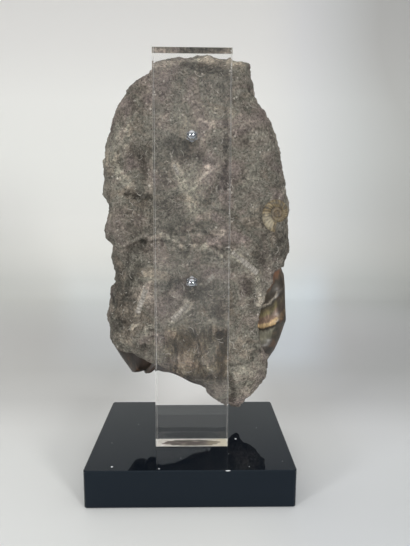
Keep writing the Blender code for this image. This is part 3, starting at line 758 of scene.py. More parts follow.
def marks_at(x, z):
    """The painted tone and the height of the marks at each point of the back."""
    wander = MARK_WANDER * fractal(x, z, MARK_WANDER_SIZE, shift=21.0)
    tone = np.zeros(x.shape)
    height = np.zeros(x.shape)
    for points, half_width, strength, rise in MARKS:
        distance, _ = line_distance(x, z, points)
        cover = smooth_step(*MARK_EDGE, (distance + wander) / half_width)
        tone += strength * cover
        height += rise * cover
    for middle_x, middle_z, reach_x, reach_z, strength in BROAD_TONES:
        away_x = (x - middle_x + TONE_WANDER * wander) / reach_x
        away_z = (z - middle_z + TONE_WANDER * wander) / reach_z
        tone += strength * np.exp(-(away_x**2 + away_z**2))
    return np.clip(tone, -1, 1), height


def stain_at(x, z):
    """How strongly the brown stain covers each point. Its right edge is sharp and the others are soft."""
    wander = STAIN_WANDER * fractal(x, z, STAIN_WANDER_SIZE, shift=31.0)
    across = smooth_step(*STAIN_LEFT, x + wander) * smooth_step(*STAIN_RIGHT, x)
    upward = smooth_step(*STAIN_TOP, z + wander) * smooth_step(*STAIN_FOOT, z + wander)
    return across * upward


def make_rock(material):
    """The slab: its sheets evened out and roughened, with the facts that its material needs."""
    points, faces = slab_sheets()
    rock = new_object("slab_sheets", points, faces, material)
    even = rock.modifiers.new("even", "REMESH")
    even.mode = "VOXEL"
    even.voxel_size = ROCK_VOXEL * MM
    mesh = baked_mesh(rock)
    points, normals = vertex_arrays(mesh)
    x, y, z = points.T
    places = [Vector(point) for point in points.tolist()]
    broad = np.array([noise.fractal(place / GRAIN_SIZE, 1.0, 2.0, 3) for place in places])
    ridged = np.array([1 - 2 * abs(noise.noise(place / RIDGE_SIZE)) for place in places])
    fine = np.array([noise.fractal(place / FINE_SIZE, 0.7, 2.1, 3) for place in places])
    distance, _, outer = BACK_COIL.polar(x, z)
    keep = 1 - BARE_CALM * bare_shell(x, z) * (y < GREAT_COIL.plane)
    keep *= np.where((distance < outer + 0.3) & (y < SLAB_MEAN_RIM_Y), BACK_COIL_KEEP, 1)
    keep *= smooth_step(*CALM_REACH, np.hypot(x - CALM_CORNER[0], z - CALM_CORNER[1]))
    painted = keep.copy()
    for height in STUD_HEIGHTS:
        keep *= smooth_step(SEAT_RADIUS - 3, SEAT_REACH, np.hypot(x - STUD_X, z - height))
    for coil in FRONT_COILS:
        distance, _, outer = coil.polar(x, z)
        keep *= np.where((distance < outer + 0.5) & (y > coil.plane), FRONT_COIL_KEEP, 1)
    on_wall = 1 - np.abs(normals[:, 1])
    form = GRAIN_HEIGHT * broad + FACET_HEIGHT * facets(points, FACET_SIZE)
    form *= 1 + WALL_ROUGHNESS * on_wall
    texture = SMALL_FACET_HEIGHT * facets(points, SMALL_FACET_SIZE)
    texture = texture + RIDGE_HEIGHT * ridged + FINE_HEIGHT * fine
    texture *= 1 + FINE_WALL_ROUGHNESS * on_wall
    on_back = smooth_step(SLAB_MEAN_RIM_Y + 2, SLAB_MEAN_RIM_Y - 4, y)
    mark, mark_height = marks_at(x, z)
    moved = points + normals * ((form + texture + mark_height * on_back) * keep)[:, None]
    moved[:, 1] = np.maximum(moved[:, 1], SEAT_Y)
    mesh.vertices.foreach_set("co", (moved * MM).ravel())
    # The relief also drives the stone's painted shade in its low parts and painted highlight on its high
    # parts.
    set_attribute(mesh, "relief", (texture + RELIEF_OF_FORM * form) * keep)
    set_attribute(mesh, "mark", mark * on_back * painted)
    set_attribute(mesh, "stain", stain_at(x, z) * on_back)
    mesh.update()
    mesh.shade_smooth()
    rock = linked("fossil_rock", mesh)
    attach(rock, "root")
    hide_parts("fossil_block")
    return rock


RAY_START_Y = -0.2  # in metres, well in front of the plate


def back_surface(rock):
    """A finder for the rock's back: x and z in millimetres give the surface's y and its normal."""
    tree = BVHTree.FromPolygons(
        [v.co.copy() for v in rock.data.vertices], [tuple(p.vertices) for p in rock.data.polygons]
    )

    def find(x, z):
        place, normal, _, _ = tree.ray_cast(Vector((x * MM, RAY_START_Y, z * MM)), Vector((0, 1, 0)))
        return (None, None) if place is None else (place.y / MM, normal)

    return find


def swept_strip(bm, path, radii, sunk, sides, grooves=None):
    """Adds a round tube through points, each with its own radius, sunk by a share of that radius."""
    layer = bm.verts.layers.float.get("groove") or bm.verts.layers.float.new("groove")
    rows = []
    for number, (place, radius) in enumerate(zip(path, radii)):
        before = path[max(number - 1, 0)]
        after = path[min(number + 1, len(path) - 1)]
        along = (after - before).normalized()
        out = Vector((0, -1, 0))
        side = along.cross(out).normalized()
        out = side.cross(along)
        middle = place - out * radius * sunk
        row = []
        for step in range(sides):
            angle = step / sides * FULL_TURN
            vertex = bm.verts.new((middle + radius * (math.cos(angle) * side + math.sin(angle) * out)) * MM)
            vertex[layer] = grooves[number] if grooves else 0.0
            row.append(vertex)
        rows.append(row)
    skin_rows(bm, rows)
    bm.faces.new(tuple(reversed(rows[0])))
    bm.faces.new(tuple(rows[-1]))


def finished_piece(name, bm, material):
    """Turns a bmesh into a smooth piece that rides on the body."""
    bmesh.ops.recalc_face_normals(bm, faces=bm.faces)
    mesh = freed_mesh(name, bm)
    mesh.materials.append(material)
    mesh.shade_smooth()
    mesh.set_sharp_from_angle(angle=math.radians(50))
    piece = linked(name, mesh)
    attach(piece, "root")
    return piece


def scrap_look():
    """Pale broken shell and stem, dusty like the stone round it, with painted shade in the stems' grooves.
    """
    look = Look("shell_scraps")
    grains = look.noise(300.0, 4.0, 0.7)
    tone = look.grade(grains, (
        (0.32, (0.150, 0.138, 0.120)),
        (0.50, (0.300, 0.278, 0.245)),
        (0.68, (0.520, 0.485, 0.430)),
    ))
    patches = look.noise(60.0, 3.0, 0.6)
    tone = look.mix(look.span(patches, 0.36, 0.52, 0.65, 0.0), tone, (0.140, 0.128, 0.106))
    # Painted shade: the grooves between a stem's discs are darkened.
    tone = look.mix(look.span(look.attribute("groove"), 0.15, 0.9, 0.0, 0.85), tone, (0.050, 0.044, 0.036))
    normal = look.bump(look.noise(700.0, 4.0, 0.7), 0.0006, 0.8)
    return look.principled(Base_Color=tone, Roughness=0.7, Normal=normal)


# A stem's drawing: its step and sides, how sharply its discs end, its radius in the grooves and how much
# more its discs have as shares, how much of it is sunk, and over how many steps its height is evened out
STEM_STEP = 0.42
STEM_SIDES = 14
DISC_SHARPNESS = 1.9
GROOVE_SHARE = 0.66
DISC_SHARE = 0.34
STEM_SUNK = 0.55
STEM_EVENED = 6


def make_stems(find, material):
    """The sea lily stems, each a row of thin discs."""
    bm = bmesh.new()
    for (start_x, start_z), (end_x, end_z), radius in STEMS:
        length = math.hypot(end_x - start_x, end_z - start_z)
        steps = int(length / STEM_STEP)
        path = []
        radii = []
        grooves = []
        for step in range(steps + 1):
            part = step / steps
            x = start_x + part * (end_x - start_x)
            z = start_z + part * (end_z - start_z)
            y, _ = find(x, z)
            path.append(Vector((x, y, z)))
            disc = min(1.0, DISC_SHARPNESS * abs(math.sin(math.pi * part * length / DISC_PITCH)))
            radii.append(radius * (GROOVE_SHARE + DISC_SHARE * disc))
            grooves.append(1 - disc)
        heights = [p.y for p in path]
        for number, place in enumerate(path):
            near = heights[max(number - STEM_EVENED, 0):number + STEM_EVENED + 1]
            place.y = sum(near) / len(near)
        swept_strip(bm, path, radii, STEM_SUNK, STEM_SIDES, grooves)
    finished_piece("sea_lily_stems", bm, material)


# Where the shell scraps are scattered, the radii that they curve by, how far round they go, how thick they
# are and how they are drawn. None lies on bare shell, deep in a hollow or where the ground is too steep.
SCRAP_COUNT = 620
SCRAP_X = (-76, 84)
SCRAP_Z = (48, 342)
SCRAP_CURVES = (0.8, 1.2, 1.8, 2.6, 4.0)
SCRAP_SWEEP = (0.5, 2.6)
SCRAP_THICKNESS = (0.16, 0.42)
SCRAP_STEPS = 6
SCRAP_SIDES = 6
SCRAP_SUNK = 0.35
SCRAP_BARE_LIMIT = 0.2
SCRAP_DEEPEST_Y = 16
SCRAP_STEEPEST = -0.4


def make_scraps(find, material):
    """Small curved pieces of shell scattered over the back, half sunk in the stone."""
    chance = random.Random(31)
    bm = bmesh.new()
    placed_count = 0
    while placed_count < SCRAP_COUNT:
        x = chance.uniform(*SCRAP_X)
        z = chance.uniform(*SCRAP_Z)
        radius = chance.choice(SCRAP_CURVES)
        turn = chance.uniform(0, FULL_TURN)
        sweep = chance.uniform(*SCRAP_SWEEP)
        thick = chance.uniform(*SCRAP_THICKNESS)
        if bare_shell(np.array([x]), np.array([z]))[0] > SCRAP_BARE_LIMIT:
            continue
        if any(math.hypot(x - STUD_X, z - height) < SEAT_RADIUS for height in STUD_HEIGHTS):
            continue
        path = []
        radii = []
        for step in range(SCRAP_STEPS + 1):
            angle = turn + sweep * step / SCRAP_STEPS
            place_x = x + radius * math.cos(angle)
            place_z = z + radius * math.sin(angle)
            y, normal = find(place_x, place_z)
            if y is None or y > SCRAP_DEEPEST_Y or normal.y > SCRAP_STEEPEST:
                break
            path.append(Vector((place_x, y, place_z)))
            radii.append(thick * math.sin(math.pi * (step + 0.7) / 7.4))
        if len(path) == SCRAP_STEPS + 1:
            swept_strip(bm, path, radii, SCRAP_SUNK, SCRAP_SIDES)
            placed_count += 1
    finished_piece("shell_scraps", bm, material)


def ochre_look():
    """The small ammonite on the back: worn ochre ribs, brown furrows and a cream patch near its mouth."""
    look = Look("ochre_shell")
    rib = look.attribute("rib")
    worn = look.noise(260.0, 5.0, 0.65, 0.4)
    height = look.plus(look.times(rib, 0.30), look.times(worn, 0.88))
    color = look.grade(height, (
        (0.26, (0.045, 0.034, 0.018)),
        (0.45, (0.092, 0.066, 0.032)),
        (0.62, (0.180, 0.134, 0.066)),
        (0.85, (0.280, 0.228, 0.135)),
    ))
    along = look.attribute("turned")
    cream = look.times(look.span(along, 0.01, 0.07), look.span(along, 0.26, 0.17))
    color = look.mix(look.times(cream, 0.55), color, (0.400, 0.360, 0.270))
    color = look.mix(look.span(along, 1.0, 1.15, 0.0, 0.75), color, (0.160, 0.118, 0.072))
    dirt = look.noise(190.0, 5.0, 0.68, 0.6)
    color = look.mix(look.span(dirt, 0.47, 0.60, 0.0, 0.75), color, (0.060, 0.050, 0.036))
    color = look.mix(look.span(dirt, 0.43, 0.33, 0.0, 0.55), color, (0.330, 0.285, 0.200))
    normal = look.bump(worn, 0.0008, 0.8)
    return look.principled(
        Base_Color=color, Roughness=0.55, Normal=normal, Coat_Weight=0.1, Coat_Roughness=0.3,
    )


def shell_look(name, patina):
    """Polished brown shell: dark furrows, bronze flanks and paler rib tops under a soft gloss.

    A patina gives the great shell its colours on the side that faces the plate, with a painted shadow line
    and highlight, and painted shade towards its rim.
    """
    look = Look(name)
    rib = look.attribute("rib")
    worn = look.noise(70.0, 5.0, 0.6, 0.6)
    lines = look.noise(130.0, 4.0, 0.7, 0.3, stretch=(1.0, 0.4, 1.0))
    height = look.plus(look.times(rib, 0.34), look.times(worn, 0.74))
    height = look.plus(height, look.times(look.math("SUBTRACT", lines, 0.5), 0.6))
    color = look.grade(height, (
        (0.16, (0.020, 0.015, 0.011)),
        (0.36, (0.068, 0.045, 0.028)),
        (0.60, (0.165, 0.104, 0.056)),
        (0.92, (0.360, 0.250, 0.135)),
    ))
    patches = look.noise(36.0, 4.0, 0.55, 0.8)
    color = look.mix(look.span(patches, 0.54, 0.66, 0.0, 0.7), color, (0.085, 0.088, 0.060))
    color = look.mix(look.span(patches, 0.44, 0.34, 0.0, 0.6), color, (0.150, 0.060, 0.034))
    if patina:
        wavy = look.times(look.math("SUBTRACT", look.noise(170.0, 3.0, 0.6), 0.5), 0.022)
        streaks = look.noise(240.0, 5.0, 0.65, 0.4, stretch=(1.0, 1.0, 0.24))
        across = look.attribute("across")
        turned = look.attribute("turned")
        place = look.math("SUBTRACT", turned, look.span(across, 0.10, 0.45, 0.0, 0.009))
        bands = look.grade(look.plus(place, wavy), patina)
        bands = look.toned(bands, streaks, (
            (0.32, (0.38, 0.37, 0.36)),
            (0.52, (1.0, 1.0, 1.0)),
            (0.70, (1.9, 1.85, 1.75)),
        ))
        behind = look.attribute("behind")
        color = look.mix(behind, color, bands)
        # Painted shade, in dark browns, over the side that faces the plate towards the tube's outer edge.
        ragged = look.math("MULTIPLY_ADD", look.math("SUBTRACT", streaks, 0.5), 0.5, third=across)
        rim_shade = look.span(look.times(behind, ragged), 0.36, 0.52, 0.0, 0.84)
        rim_shade = look.times(rim_shade, look.span(turned, 0.540, 0.505))
        color = look.mix(rim_shade, color, look.grade(look.noise(120.0, 4.0, 0.6, 0.5), (
            (0.36, (0.012, 0.010, 0.008)),
            (0.50, (0.030, 0.023, 0.017)),
            (0.64, (0.072, 0.042, 0.027)),
        )))
        # Painted shade where the tube's surface turns sideways, darkest where it faces across.
        back = look.axis(look.node("ShaderNodeNewGeometry").outputs["Normal"], "Y")
        turned_away_shade = look.span(look.math("ABSOLUTE", back), 0.10, 0.50, 0.85, 0.0)
        low_left = look.span(turned, 0.36, 0.30)
        color = look.mix(turned_away_shade, color, look.mix(low_left, (0.058, 0.031, 0.020), (0.014, 0.010, 0.008)))
    normal = look.bump(look.noise(420.0, 3.0, 0.6), 0.0003, 0.6)
    normal = look.bump(lines, 0.0006, 0.5, normal)
    return look.principled(
        Base_Color=color, Roughness=look.span(worn, 0.3, 0.8, 0.38, 0.58), Normal=normal, Coat_Weight=0.12,
        Coat_Roughness=0.24, Specular_IOR_Level=0.35,
    )


# The great ammonite's colours along the side that faces the plate, by turns from its opening; a shadow line
# under the gold rib and a highlight along a rib's crest are painted into them
PATINA = (
    (0.02, (0.018, 0.012, 0.009)),
    (0.30, (0.020, 0.013, 0.010)),
    (0.385, (0.085, 0.071, 0.057)),
    (0.408, (0.120, 0.112, 0.076)),
    (0.428, (0.155, 0.146, 0.112)),
    # The dark line below the gold rib is painted shadow.
    (0.433, (0.034, 0.028, 0.020)),
    (0.438, (0.040, 0.028, 0.018)),
    (0.441, (0.400, 0.270, 0.130)),
    (0.450, (0.560, 0.400, 0.220)),
    (0.453, (0.230, 0.150, 0.106)),
    (0.466, (0.215, 0.146, 0.104)),
    (0.474, (0.210, 0.180, 0.088)),
    (0.482, (0.130, 0.105, 0.056)),
    (0.494, (0.030, 0.026, 0.022)),
    # A painted highlight along a rib's crest.
    (0.499, (0.500, 0.440, 0.350)),
    (0.503, (0.080, 0.066, 0.050)),
    (0.525, (0.060, 0.049, 0.036)),
    (0.540, (0.135, 0.066, 0.038)),
    (0.600, (0.110, 0.048, 0.028)),
    (0.99, (0.080, 0.060, 0.040)),
)


# A coil's mesh: its smallest turn as a share of its radius, the points across half its tube, how far that
# half tucks under its plane, its least step as a share of the radius, and its overhang past the slab's edge
SMALLEST_TURN = 0.06
TUBE_SECTIONS = 56
TUBE_TUCK = 0.12
LEAST_STEP = 0.012
TUBE_MIDDLE = 0.8  # the share of a turn's reach at which its steps are measured
EDGE_OVERHANG = 0.5
BEHIND = (2.0, -4.0)  # y from the middle plane between which the side that faces the plate begins
COIL_STEP = 1.2
BACK_COIL_STEP = 0.4
STEPS_IN_RADIUS = 30  # at least, in a small coil
# Stone covers the great shell at the left, above its foot, up to this far past its middle plane
COVERED_X = -50
COVERED_Z = 114
COVERED_RISE = 4


def make_coil(name, coil, material, step, side=1, full_ring=False):
    """A coiled shell as a tube on its spiral, with ribs. side is +1 for the far face, -1 for the back.

    Points past the slab's edge are drawn in to it, and faces that lie wholly past it are left out.
    """
    angles = [0.0]
    last = math.log(1 / SMALLEST_TURN) / math.log(coil.growth) * FULL_TURN
    while angles[-1] < last:
        radius = coil.radius * coil.growth ** (-angles[-1] / FULL_TURN)
        angles.append(angles[-1] + max(step, LEAST_STEP * radius) / (TUBE_MIDDLE * radius))
    along = np.array(angles)
    if full_ring:
        round_tube = np.linspace(-math.pi, math.pi, 2 * TUBE_SECTIONS, endpoint=False)
    else:
        round_tube = np.linspace(-TUBE_TUCK, math.pi + TUBE_TUCK, TUBE_SECTIONS)
    turned, ring = np.meshgrid(along, round_tube, indexing="ij")
    angle = coil.opening + coil.winding * turned
    wrapped = np.arctan2(np.sin(angle), np.cos(angle))
    _, last_reach = coil.outer(wrapped)
    rim = last_reach * coil.growth ** -np.floor(turned / FULL_TURN + 1e-9)
    across = np.sign(np.cos(ring)) * np.abs(np.cos(ring)) ** (2 / TUBE_SQUARENESS)
    rib = coil.rib(turned, across)
    middle = rim * (1 + 1 / coil.growth) / 2
    half = rim * (1 - 1 / coil.growth) / 2
    distance = middle + half * across
    lift = np.sin(ring) * rim * (coil.fatness + coil.rib_height * rib)
    x = coil.x + distance * np.cos(angle)
    z = coil.z + distance * np.sin(angle)
    y = coil.level(x) + side * lift
    points = np.stack([x.ravel(), y.ravel(), z.ravel()], axis=1)
    rows, columns = turned.shape
    gaps = columns if full_ring else columns - 1
    row, column = np.meshgrid(np.arange(rows - 1), np.arange(gaps), indexing="ij")
    a = (row * columns + column).ravel()
    b = (row * columns + (column + 1) % columns).ravel()
    quads = np.stack([a, b, b + columns, a + columns], axis=1)
    if side * coil.winding < 0:
        quads = quads[:, ::-1]
    edge_angle, edge_reach = outline_reach(*SLAB_MIDDLE)
    from_middle = np.hypot(x - SLAB_MIDDLE[0], z - SLAB_MIDDLE[1]).ravel()
    direction = np.arctan2(z - SLAB_MIDDLE[1], x - SLAB_MIDDLE[0]).ravel()
    quads = quads.tolist()
    limit = np.interp(direction, edge_angle, edge_reach, period=FULL_TURN) + EDGE_OVERHANG
    outside = from_middle > limit
    pull = np.where(outside, limit / from_middle, 1.0)
    points[:, 0] = SLAB_MIDDLE[0] + (points[:, 0] - SLAB_MIDDLE[0]) * pull
    points[:, 2] = SLAB_MIDDLE[1] + (points[:, 2] - SLAB_MIDDLE[1]) * pull
    covered = np.full(outside.shape, False)
    if full_ring:
        covered = ((x < COVERED_X) & (z > COVERED_Z) & (y < coil.plane + COVERED_RISE)).ravel()
    quads.append(list(range(columns)))
    faces = [face for face in quads if not outside[face].all() and not covered[face].any()]
    used = sorted(set(corner for face in faces for corner in face))
    renumbered = {old: new for new, old in enumerate(used)}
    faces = [tuple(renumbered[corner] for corner in face) for face in faces]
    shell = new_object(name, points[used] * MM, faces, material)
    swept = turned / FULL_TURN + (coil.sweep * across + coil.phase) / (coil.ribs * FULL_TURN)
    set_attribute(shell.data, "rib", rib.ravel()[used])
    set_attribute(shell.data, "turned", swept.ravel()[used])
    set_attribute(shell.data, "across", across.ravel()[used])
    set_attribute(shell.data, "behind", smooth_step(*BEHIND, y.ravel()[used] - coil.plane))
    shell.data.shade_smooth()
    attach(shell, "root")


ACRYLIC_IOR = 1.49


def acrylic_look():
    """Clear cast acrylic, polished, with the faintest tint and ripple."""
    look = Look("clear_plate")
    ripple = look.bump(look.noise(45.0, 2.0, 0.5, 0.0, stretch=(1.0, 1.0, 0.3)), 0.0001, 0.06)
    return look.principled(
        Base_Color=(0.988, 0.980, 0.968), Roughness=0.0, IOR=ACRYLIC_IOR, Transmission_Weight=1.0,
        Normal=ripple,
    )


PLATE_BEVEL = 0.12
BEVEL_FACE_PLACE = 0.49  # a bevel's face lies at least this share of the plate's size from its middle
SQUARE_FACE_NORMAL = 0.9
HOLE_RADIUS = 2.8
DRILL_LENGTH = 50.0


def frost_look():
    """The plate's narrow bevels, sanded and so a little milky."""
    look = Look("frosted_edge")
    scuffs = look.noise(400.0, 3.0, 0.6, stretch=(1.0, 1.0, 0.1))
    milky = look.span(scuffs, 0.3, 0.7, 0.55, 0.90)
    return look.principled(
        Base_Color=(0.86, 0.85, 0.80), Roughness=0.35, IOR=ACRYLIC_IOR, Transmission_Weight=milky,
    )


def make_plate(material):
    """The clear upright with crisp polished edges and its two holes."""
    bm = bmesh.new()
    bmesh.ops.create_cube(bm, size=1.0)
    size = (PLATE_HIGH - PLATE_LOW) * MM
    bmesh.ops.scale(bm, vec=size, verts=bm.verts)
    bmesh.ops.translate(bm, vec=(PLATE_HIGH + PLATE_LOW) / 2 * MM, verts=bm.verts)
    bmesh.ops.bevel(bm, geom=bm.edges[:], offset=PLATE_BEVEL * MM, segments=1, affect="EDGES")
    block = linked("plate_block", freed_mesh("plate_block", bm))
    drills = []
    for height in STUD_HEIGHTS:
        bm = bmesh.new()
        place = Matrix.Translation(Vector((STUD_X, (PLATE_LOW[1] + PLATE_HIGH[1]) / 2, height)) * MM)
        bmesh.ops.create_cone(
            bm, cap_ends=True, segments=48, radius1=HOLE_RADIUS * MM, radius2=HOLE_RADIUS * MM,
            depth=DRILL_LENGTH * MM, matrix=place @ Matrix.Rotation(math.pi / 2, 4, "X"),
        )
        drill = linked("drill", freed_mesh("drill", bm))
        cut = block.modifiers.new("hole", "BOOLEAN")
        cut.operation = "DIFFERENCE"
        cut.solver = "EXACT"
        cut.object = drill
        drills.append(drill)
    mesh = baked_mesh(block)
    for drill in drills:
        bpy.data.objects.remove(drill)
    mesh.materials.clear()
    mesh.materials.append(material)
    mesh.materials.append(frost_look())
    middle = (PLATE_LOW + PLATE_HIGH) / 2 * MM
    span = PLATE_HIGH - PLATE_LOW
    for face in mesh.polygons:
        outer = max(abs(face.center[axis] - middle[axis]) / span[axis] for axis in range(3)) / MM
        slanted = max(abs(part) for part in face.normal) < SQUARE_FACE_NORMAL
        face.material_index = int(outer > BEVEL_FACE_PLACE and slanted)
    mesh.shade_smooth()
    mesh.set_sharp_from_angle(angle=math.radians(30))
    plate = linked("clear_plate", mesh)
    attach(plate, "root")
    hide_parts("acrylic_upright")
    plate.visible_shadow = False
    plate.visible_diffuse = False


# The cement under the plate's foot: the dark blot's x, y, half length along x and half width along y, how
# far its outline wanders and how square it is, and both sheets' levels over the plate's underside
BLOT = (0.4, -17.6, 23.0, 7.4)
BOND_INSET = 0.3
BOND_LEVELS = (0.05, 0.09)
BLOT_LEVELS = (0.10, 0.16)
BLOT_POINTS = 96
BLOT_WANDER = 0.16
BLOT_SQUARENESS = (0.85, 0.75)


def bond_look():
    """Pale cement seen through the plate's foot, a little yellower on the right."""
    look = Look("pale_bond")
    along = look.axis(look.place, "X")
    grain = look.noise(500.0, 4.0, 0.65, stretch=(0.4, 1.0, 1.0))
    color = look.grade(grain, (
        (0.34, (0.520, 0.490, 0.440)),
        (0.50, (0.710, 0.685, 0.645)),
        (0.66, (0.830, 0.815, 0.790)),
    ))
    color = look.mix(look.span(along, 0.012, 0.026, 0.0, 0.75), color, (0.680, 0.620, 0.470))
    return look.principled(Base_Color=color, Roughness=0.6)


def blot_look():
    """The dark core of the cement, drawn out sideways and paler at its right end."""
    look = Look("dark_blot")
    along = look.axis(look.place, "X")
    streaks = look.noise(260.0, 4.0, 0.65, 0.8, stretch=(0.35, 1.0, 1.0))
    color = look.grade(streaks, (
        (0.34, (0.030, 0.022, 0.018)),
        (0.52, (0.095, 0.076, 0.064)),
        (0.68, (0.340, 0.300, 0.270)),
    ))
    paler = look.times(look.span(along, 0.011, 0.016), 0.65)
    return look.principled(Base_Color=look.mix(paler, color, (0.330, 0.290, 0.200)), Roughness=0.5)


def make_sheet(name, ring, levels, material):
    """A thin flat sheet just inside the plate's underside, from its outline and its two levels above it."""
    bm = bmesh.new()
    rows = []
    for level in levels:
        rows.append([bm.verts.new(Vector((x, y, PLATE_LOW[2] + level)) * MM) for x, y in ring])
        bm.faces.new(rows[-1])
    skin_rows(bm, rows)
    finished_piece(name, bm, material)


def signed_power(value, power):
    """The value's size raised to a power, with its sign kept."""
    return math.copysign(abs(value) ** power, value)


def make_cement():
    """The pale bond over the whole underside and the dark blot in its middle."""
    low_x, low_y = PLATE_LOW[:2] + BOND_INSET
    high_x, high_y = PLATE_HIGH[:2] - BOND_INSET
    corners = ((low_x, low_y), (high_x, low_y), (high_x, high_y), (low_x, high_y))
    make_sheet("pale_bond", corners, BOND_LEVELS, bond_look())
    middle_x, middle_y, half_length, half_width = BLOT
    ring = []
    for step in range(BLOT_POINTS):
        angle = step / BLOT_POINTS * FULL_TURN
        place = Vector((3 * math.cos(angle), 3 * math.sin(angle), 4.0))
        wander = 1 + BLOT_WANDER * noise.fractal(place, 1.0, 2.0, 4)
        reach_x = signed_power(math.cos(angle), BLOT_SQUARENESS[0])
        reach_y = signed_power(math.sin(angle), BLOT_SQUARENESS[1])
        ring.append((middle_x + half_length * wander * reach_x, middle_y + half_width * wander * reach_y))
    make_sheet("dark_blot", ring, BLOT_LEVELS, blot_look())


def black_look():
    """Deep black gloss with a trace of dust and soft smears in its gloss."""
    look = Look("black_gloss")
    dust = look.noise(900.0, 3.0, 0.7)
    color = look.mix(look.span(dust, 0.64, 0.80, 0.0, 0.08), (0.0060, 0.0084, 0.0126), (0.12, 0.12, 0.12))
    smears = look.noise(45.0, 4.0, 0.55)
    return look.principled(
        Base_Color=color, Roughness=look.span(smears, 0.3, 0.75, 0.012, 0.045), IOR=1.33,
        Specular_Tint=(0.66, 0.85, 1.0),
    )


def chrome_look():
    """Bright plating with faint ripples and wipe marks."""
    look = Look("bright_chrome")
    marks = look.noise(1500.0, 2.0, 0.5)
    normal = look.bump(look.noise(300.0, 2.0, 0.5), 0.00003, 0.3)
    return look.principled(
        Base_Color=(0.50, 0.52, 0.55), Metallic=1.0, Roughness=look.span(marks, 0.3, 0.8, 0.05, 0.10),
        Normal=normal,
    )


NUT_ACROSS_FLATS = 8.0
NUT_HEX = 4.0
NUT_HEIGHT = 10.0
NUT_DOME = 3.75
NUT_CORNER = 9.0  # past the hexagon's corners, so the hexagon sets the reach there
NUT_BORE = 2.8
NUT_BORE_DEPTH = 5.9
NUT_FACE_Y = PLATE_LOW[1] - TOUCH_GAP
NUT_SIDES = 72
NUT_DOME_RINGS = 15
STUD_SIDES = 24
THREAD_RADIUS = 2.45
THREAD_DEPTH = 0.42
THREAD_PITCH = 0.8


def make_nut(number, height, material):
    """A hexagon cap nut with a corner up and its dome towards -y."""
    flat = NUT_ACROSS_FLATS / 2
    rings = [
        (NUT_BORE, NUT_BORE_DEPTH), (NUT_BORE, 0.0), (flat - 0.15, 0.0), (flat + 0.35, 0.22),
        (NUT_CORNER, 0.34), (NUT_CORNER, NUT_HEX - 0.34), (flat + 0.35, NUT_HEX - 0.22),
        (flat - 0.1, NUT_HEX), (NUT_DOME + 0.02, NUT_HEX + 0.08),
    ]
    shoulder = NUT_HEIGHT - NUT_DOME
    for step in range(NUT_DOME_RINGS):
        lift = step / NUT_DOME_RINGS * math.pi / 2
        rings.append((NUT_DOME * math.cos(lift), shoulder + NUT_DOME * math.sin(lift)))
    bm = bmesh.new()
    rows = []
    for radius, level in rings:
        row = []
        for step in range(NUT_SIDES):
            angle = step / NUT_SIDES * FULL_TURN
            hexagon = flat / math.cos(angle % (math.pi / 3) - math.pi / 6)
            reach = min(radius, hexagon)
            x = STUD_X + reach * math.sin(angle)
            z = height + reach * math.cos(angle)
            row.append(bm.verts.new(Vector((x, NUT_FACE_Y - level, z)) * MM))
        rows.append(row)
    skin_rows(bm, rows)
    bm.faces.new(rows[0])
    tip = bm.verts.new(Vector((STUD_X, NUT_FACE_Y - NUT_HEIGHT, height)) * MM)
    for step in range(NUT_SIDES):
        bm.faces.new((tip, rows[-1][step], rows[-1][(step + 1) % NUT_SIDES]))
    nut = finished_piece(f"chrome_nut_{number}", bm, material)
    nut.data.set_sharp_from_angle(angle=math.radians(22))
    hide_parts(("upper_cap_nut", "lower_cap_nut")[number])


def make_stud(number, height, material):
    """A threaded rod from inside the nut into the rock."""
    start, end = (float(corner[1]) for corner in node_box(STUD_NODES[number]))
    bm = bmesh.new()
    rows = []
    steps = int((end - start) / THREAD_PITCH * 6)
    for step in range(steps + 1):
        along = step / steps * (end - start)
        row = []
        for turn in range(STUD_SIDES):
            angle = turn / STUD_SIDES * FULL_TURN
            wave = abs((along / THREAD_PITCH + turn / STUD_SIDES) % 1.0 * 2 - 1)
            fade = min(1.0, along / THREAD_PITCH, (end - start - along) / THREAD_PITCH)
            reach = THREAD_RADIUS - THREAD_DEPTH * (1 - wave * fade)
            x = STUD_X + reach * math.cos(angle)
            z = height + reach * math.sin(angle)
            row.append(bm.verts.new(Vector((x, start + along, z)) * MM))
        rows.append(row)
    skin_rows(bm, rows)
    bm.faces.new(rows[0])
    bm.faces.new(rows[-1])
    stud = finished_piece(f"threaded_stud_{number}", bm, material)
    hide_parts(("upper_stud", "lower_stud")[number])


# Dust on the base: x, y and size; and the chips on its top front edge: x, half length and depth
DUST = (
    (-59.2, -55.5, 0.75), (37.7, -14.6, 0.8), (-23.5, -58.3, 0.5), (44.5, -56.0, 0.28), (-48.0, 12.0, 0.2),
    (30.0, -38.0, 0.2), (58.0, 5.0, 0.2), (-66.0, -20.0, 0.2), (71.0, -49.0, 0.2), (-8.0, -44.0, 0.2),
)
EDGE_CHIPS = ((28.0, 2.0, 0.7), (34.2, 2.2, 0.22), (39.4, 2.0, 0.2))
CHIP_INSET = 0.42


def dust_look():
    """Matt pale grey dust."""
    look = Look("pale_dust")
    return look.principled(Base_Color=(0.62, 0.64, 0.66), Roughness=0.8)


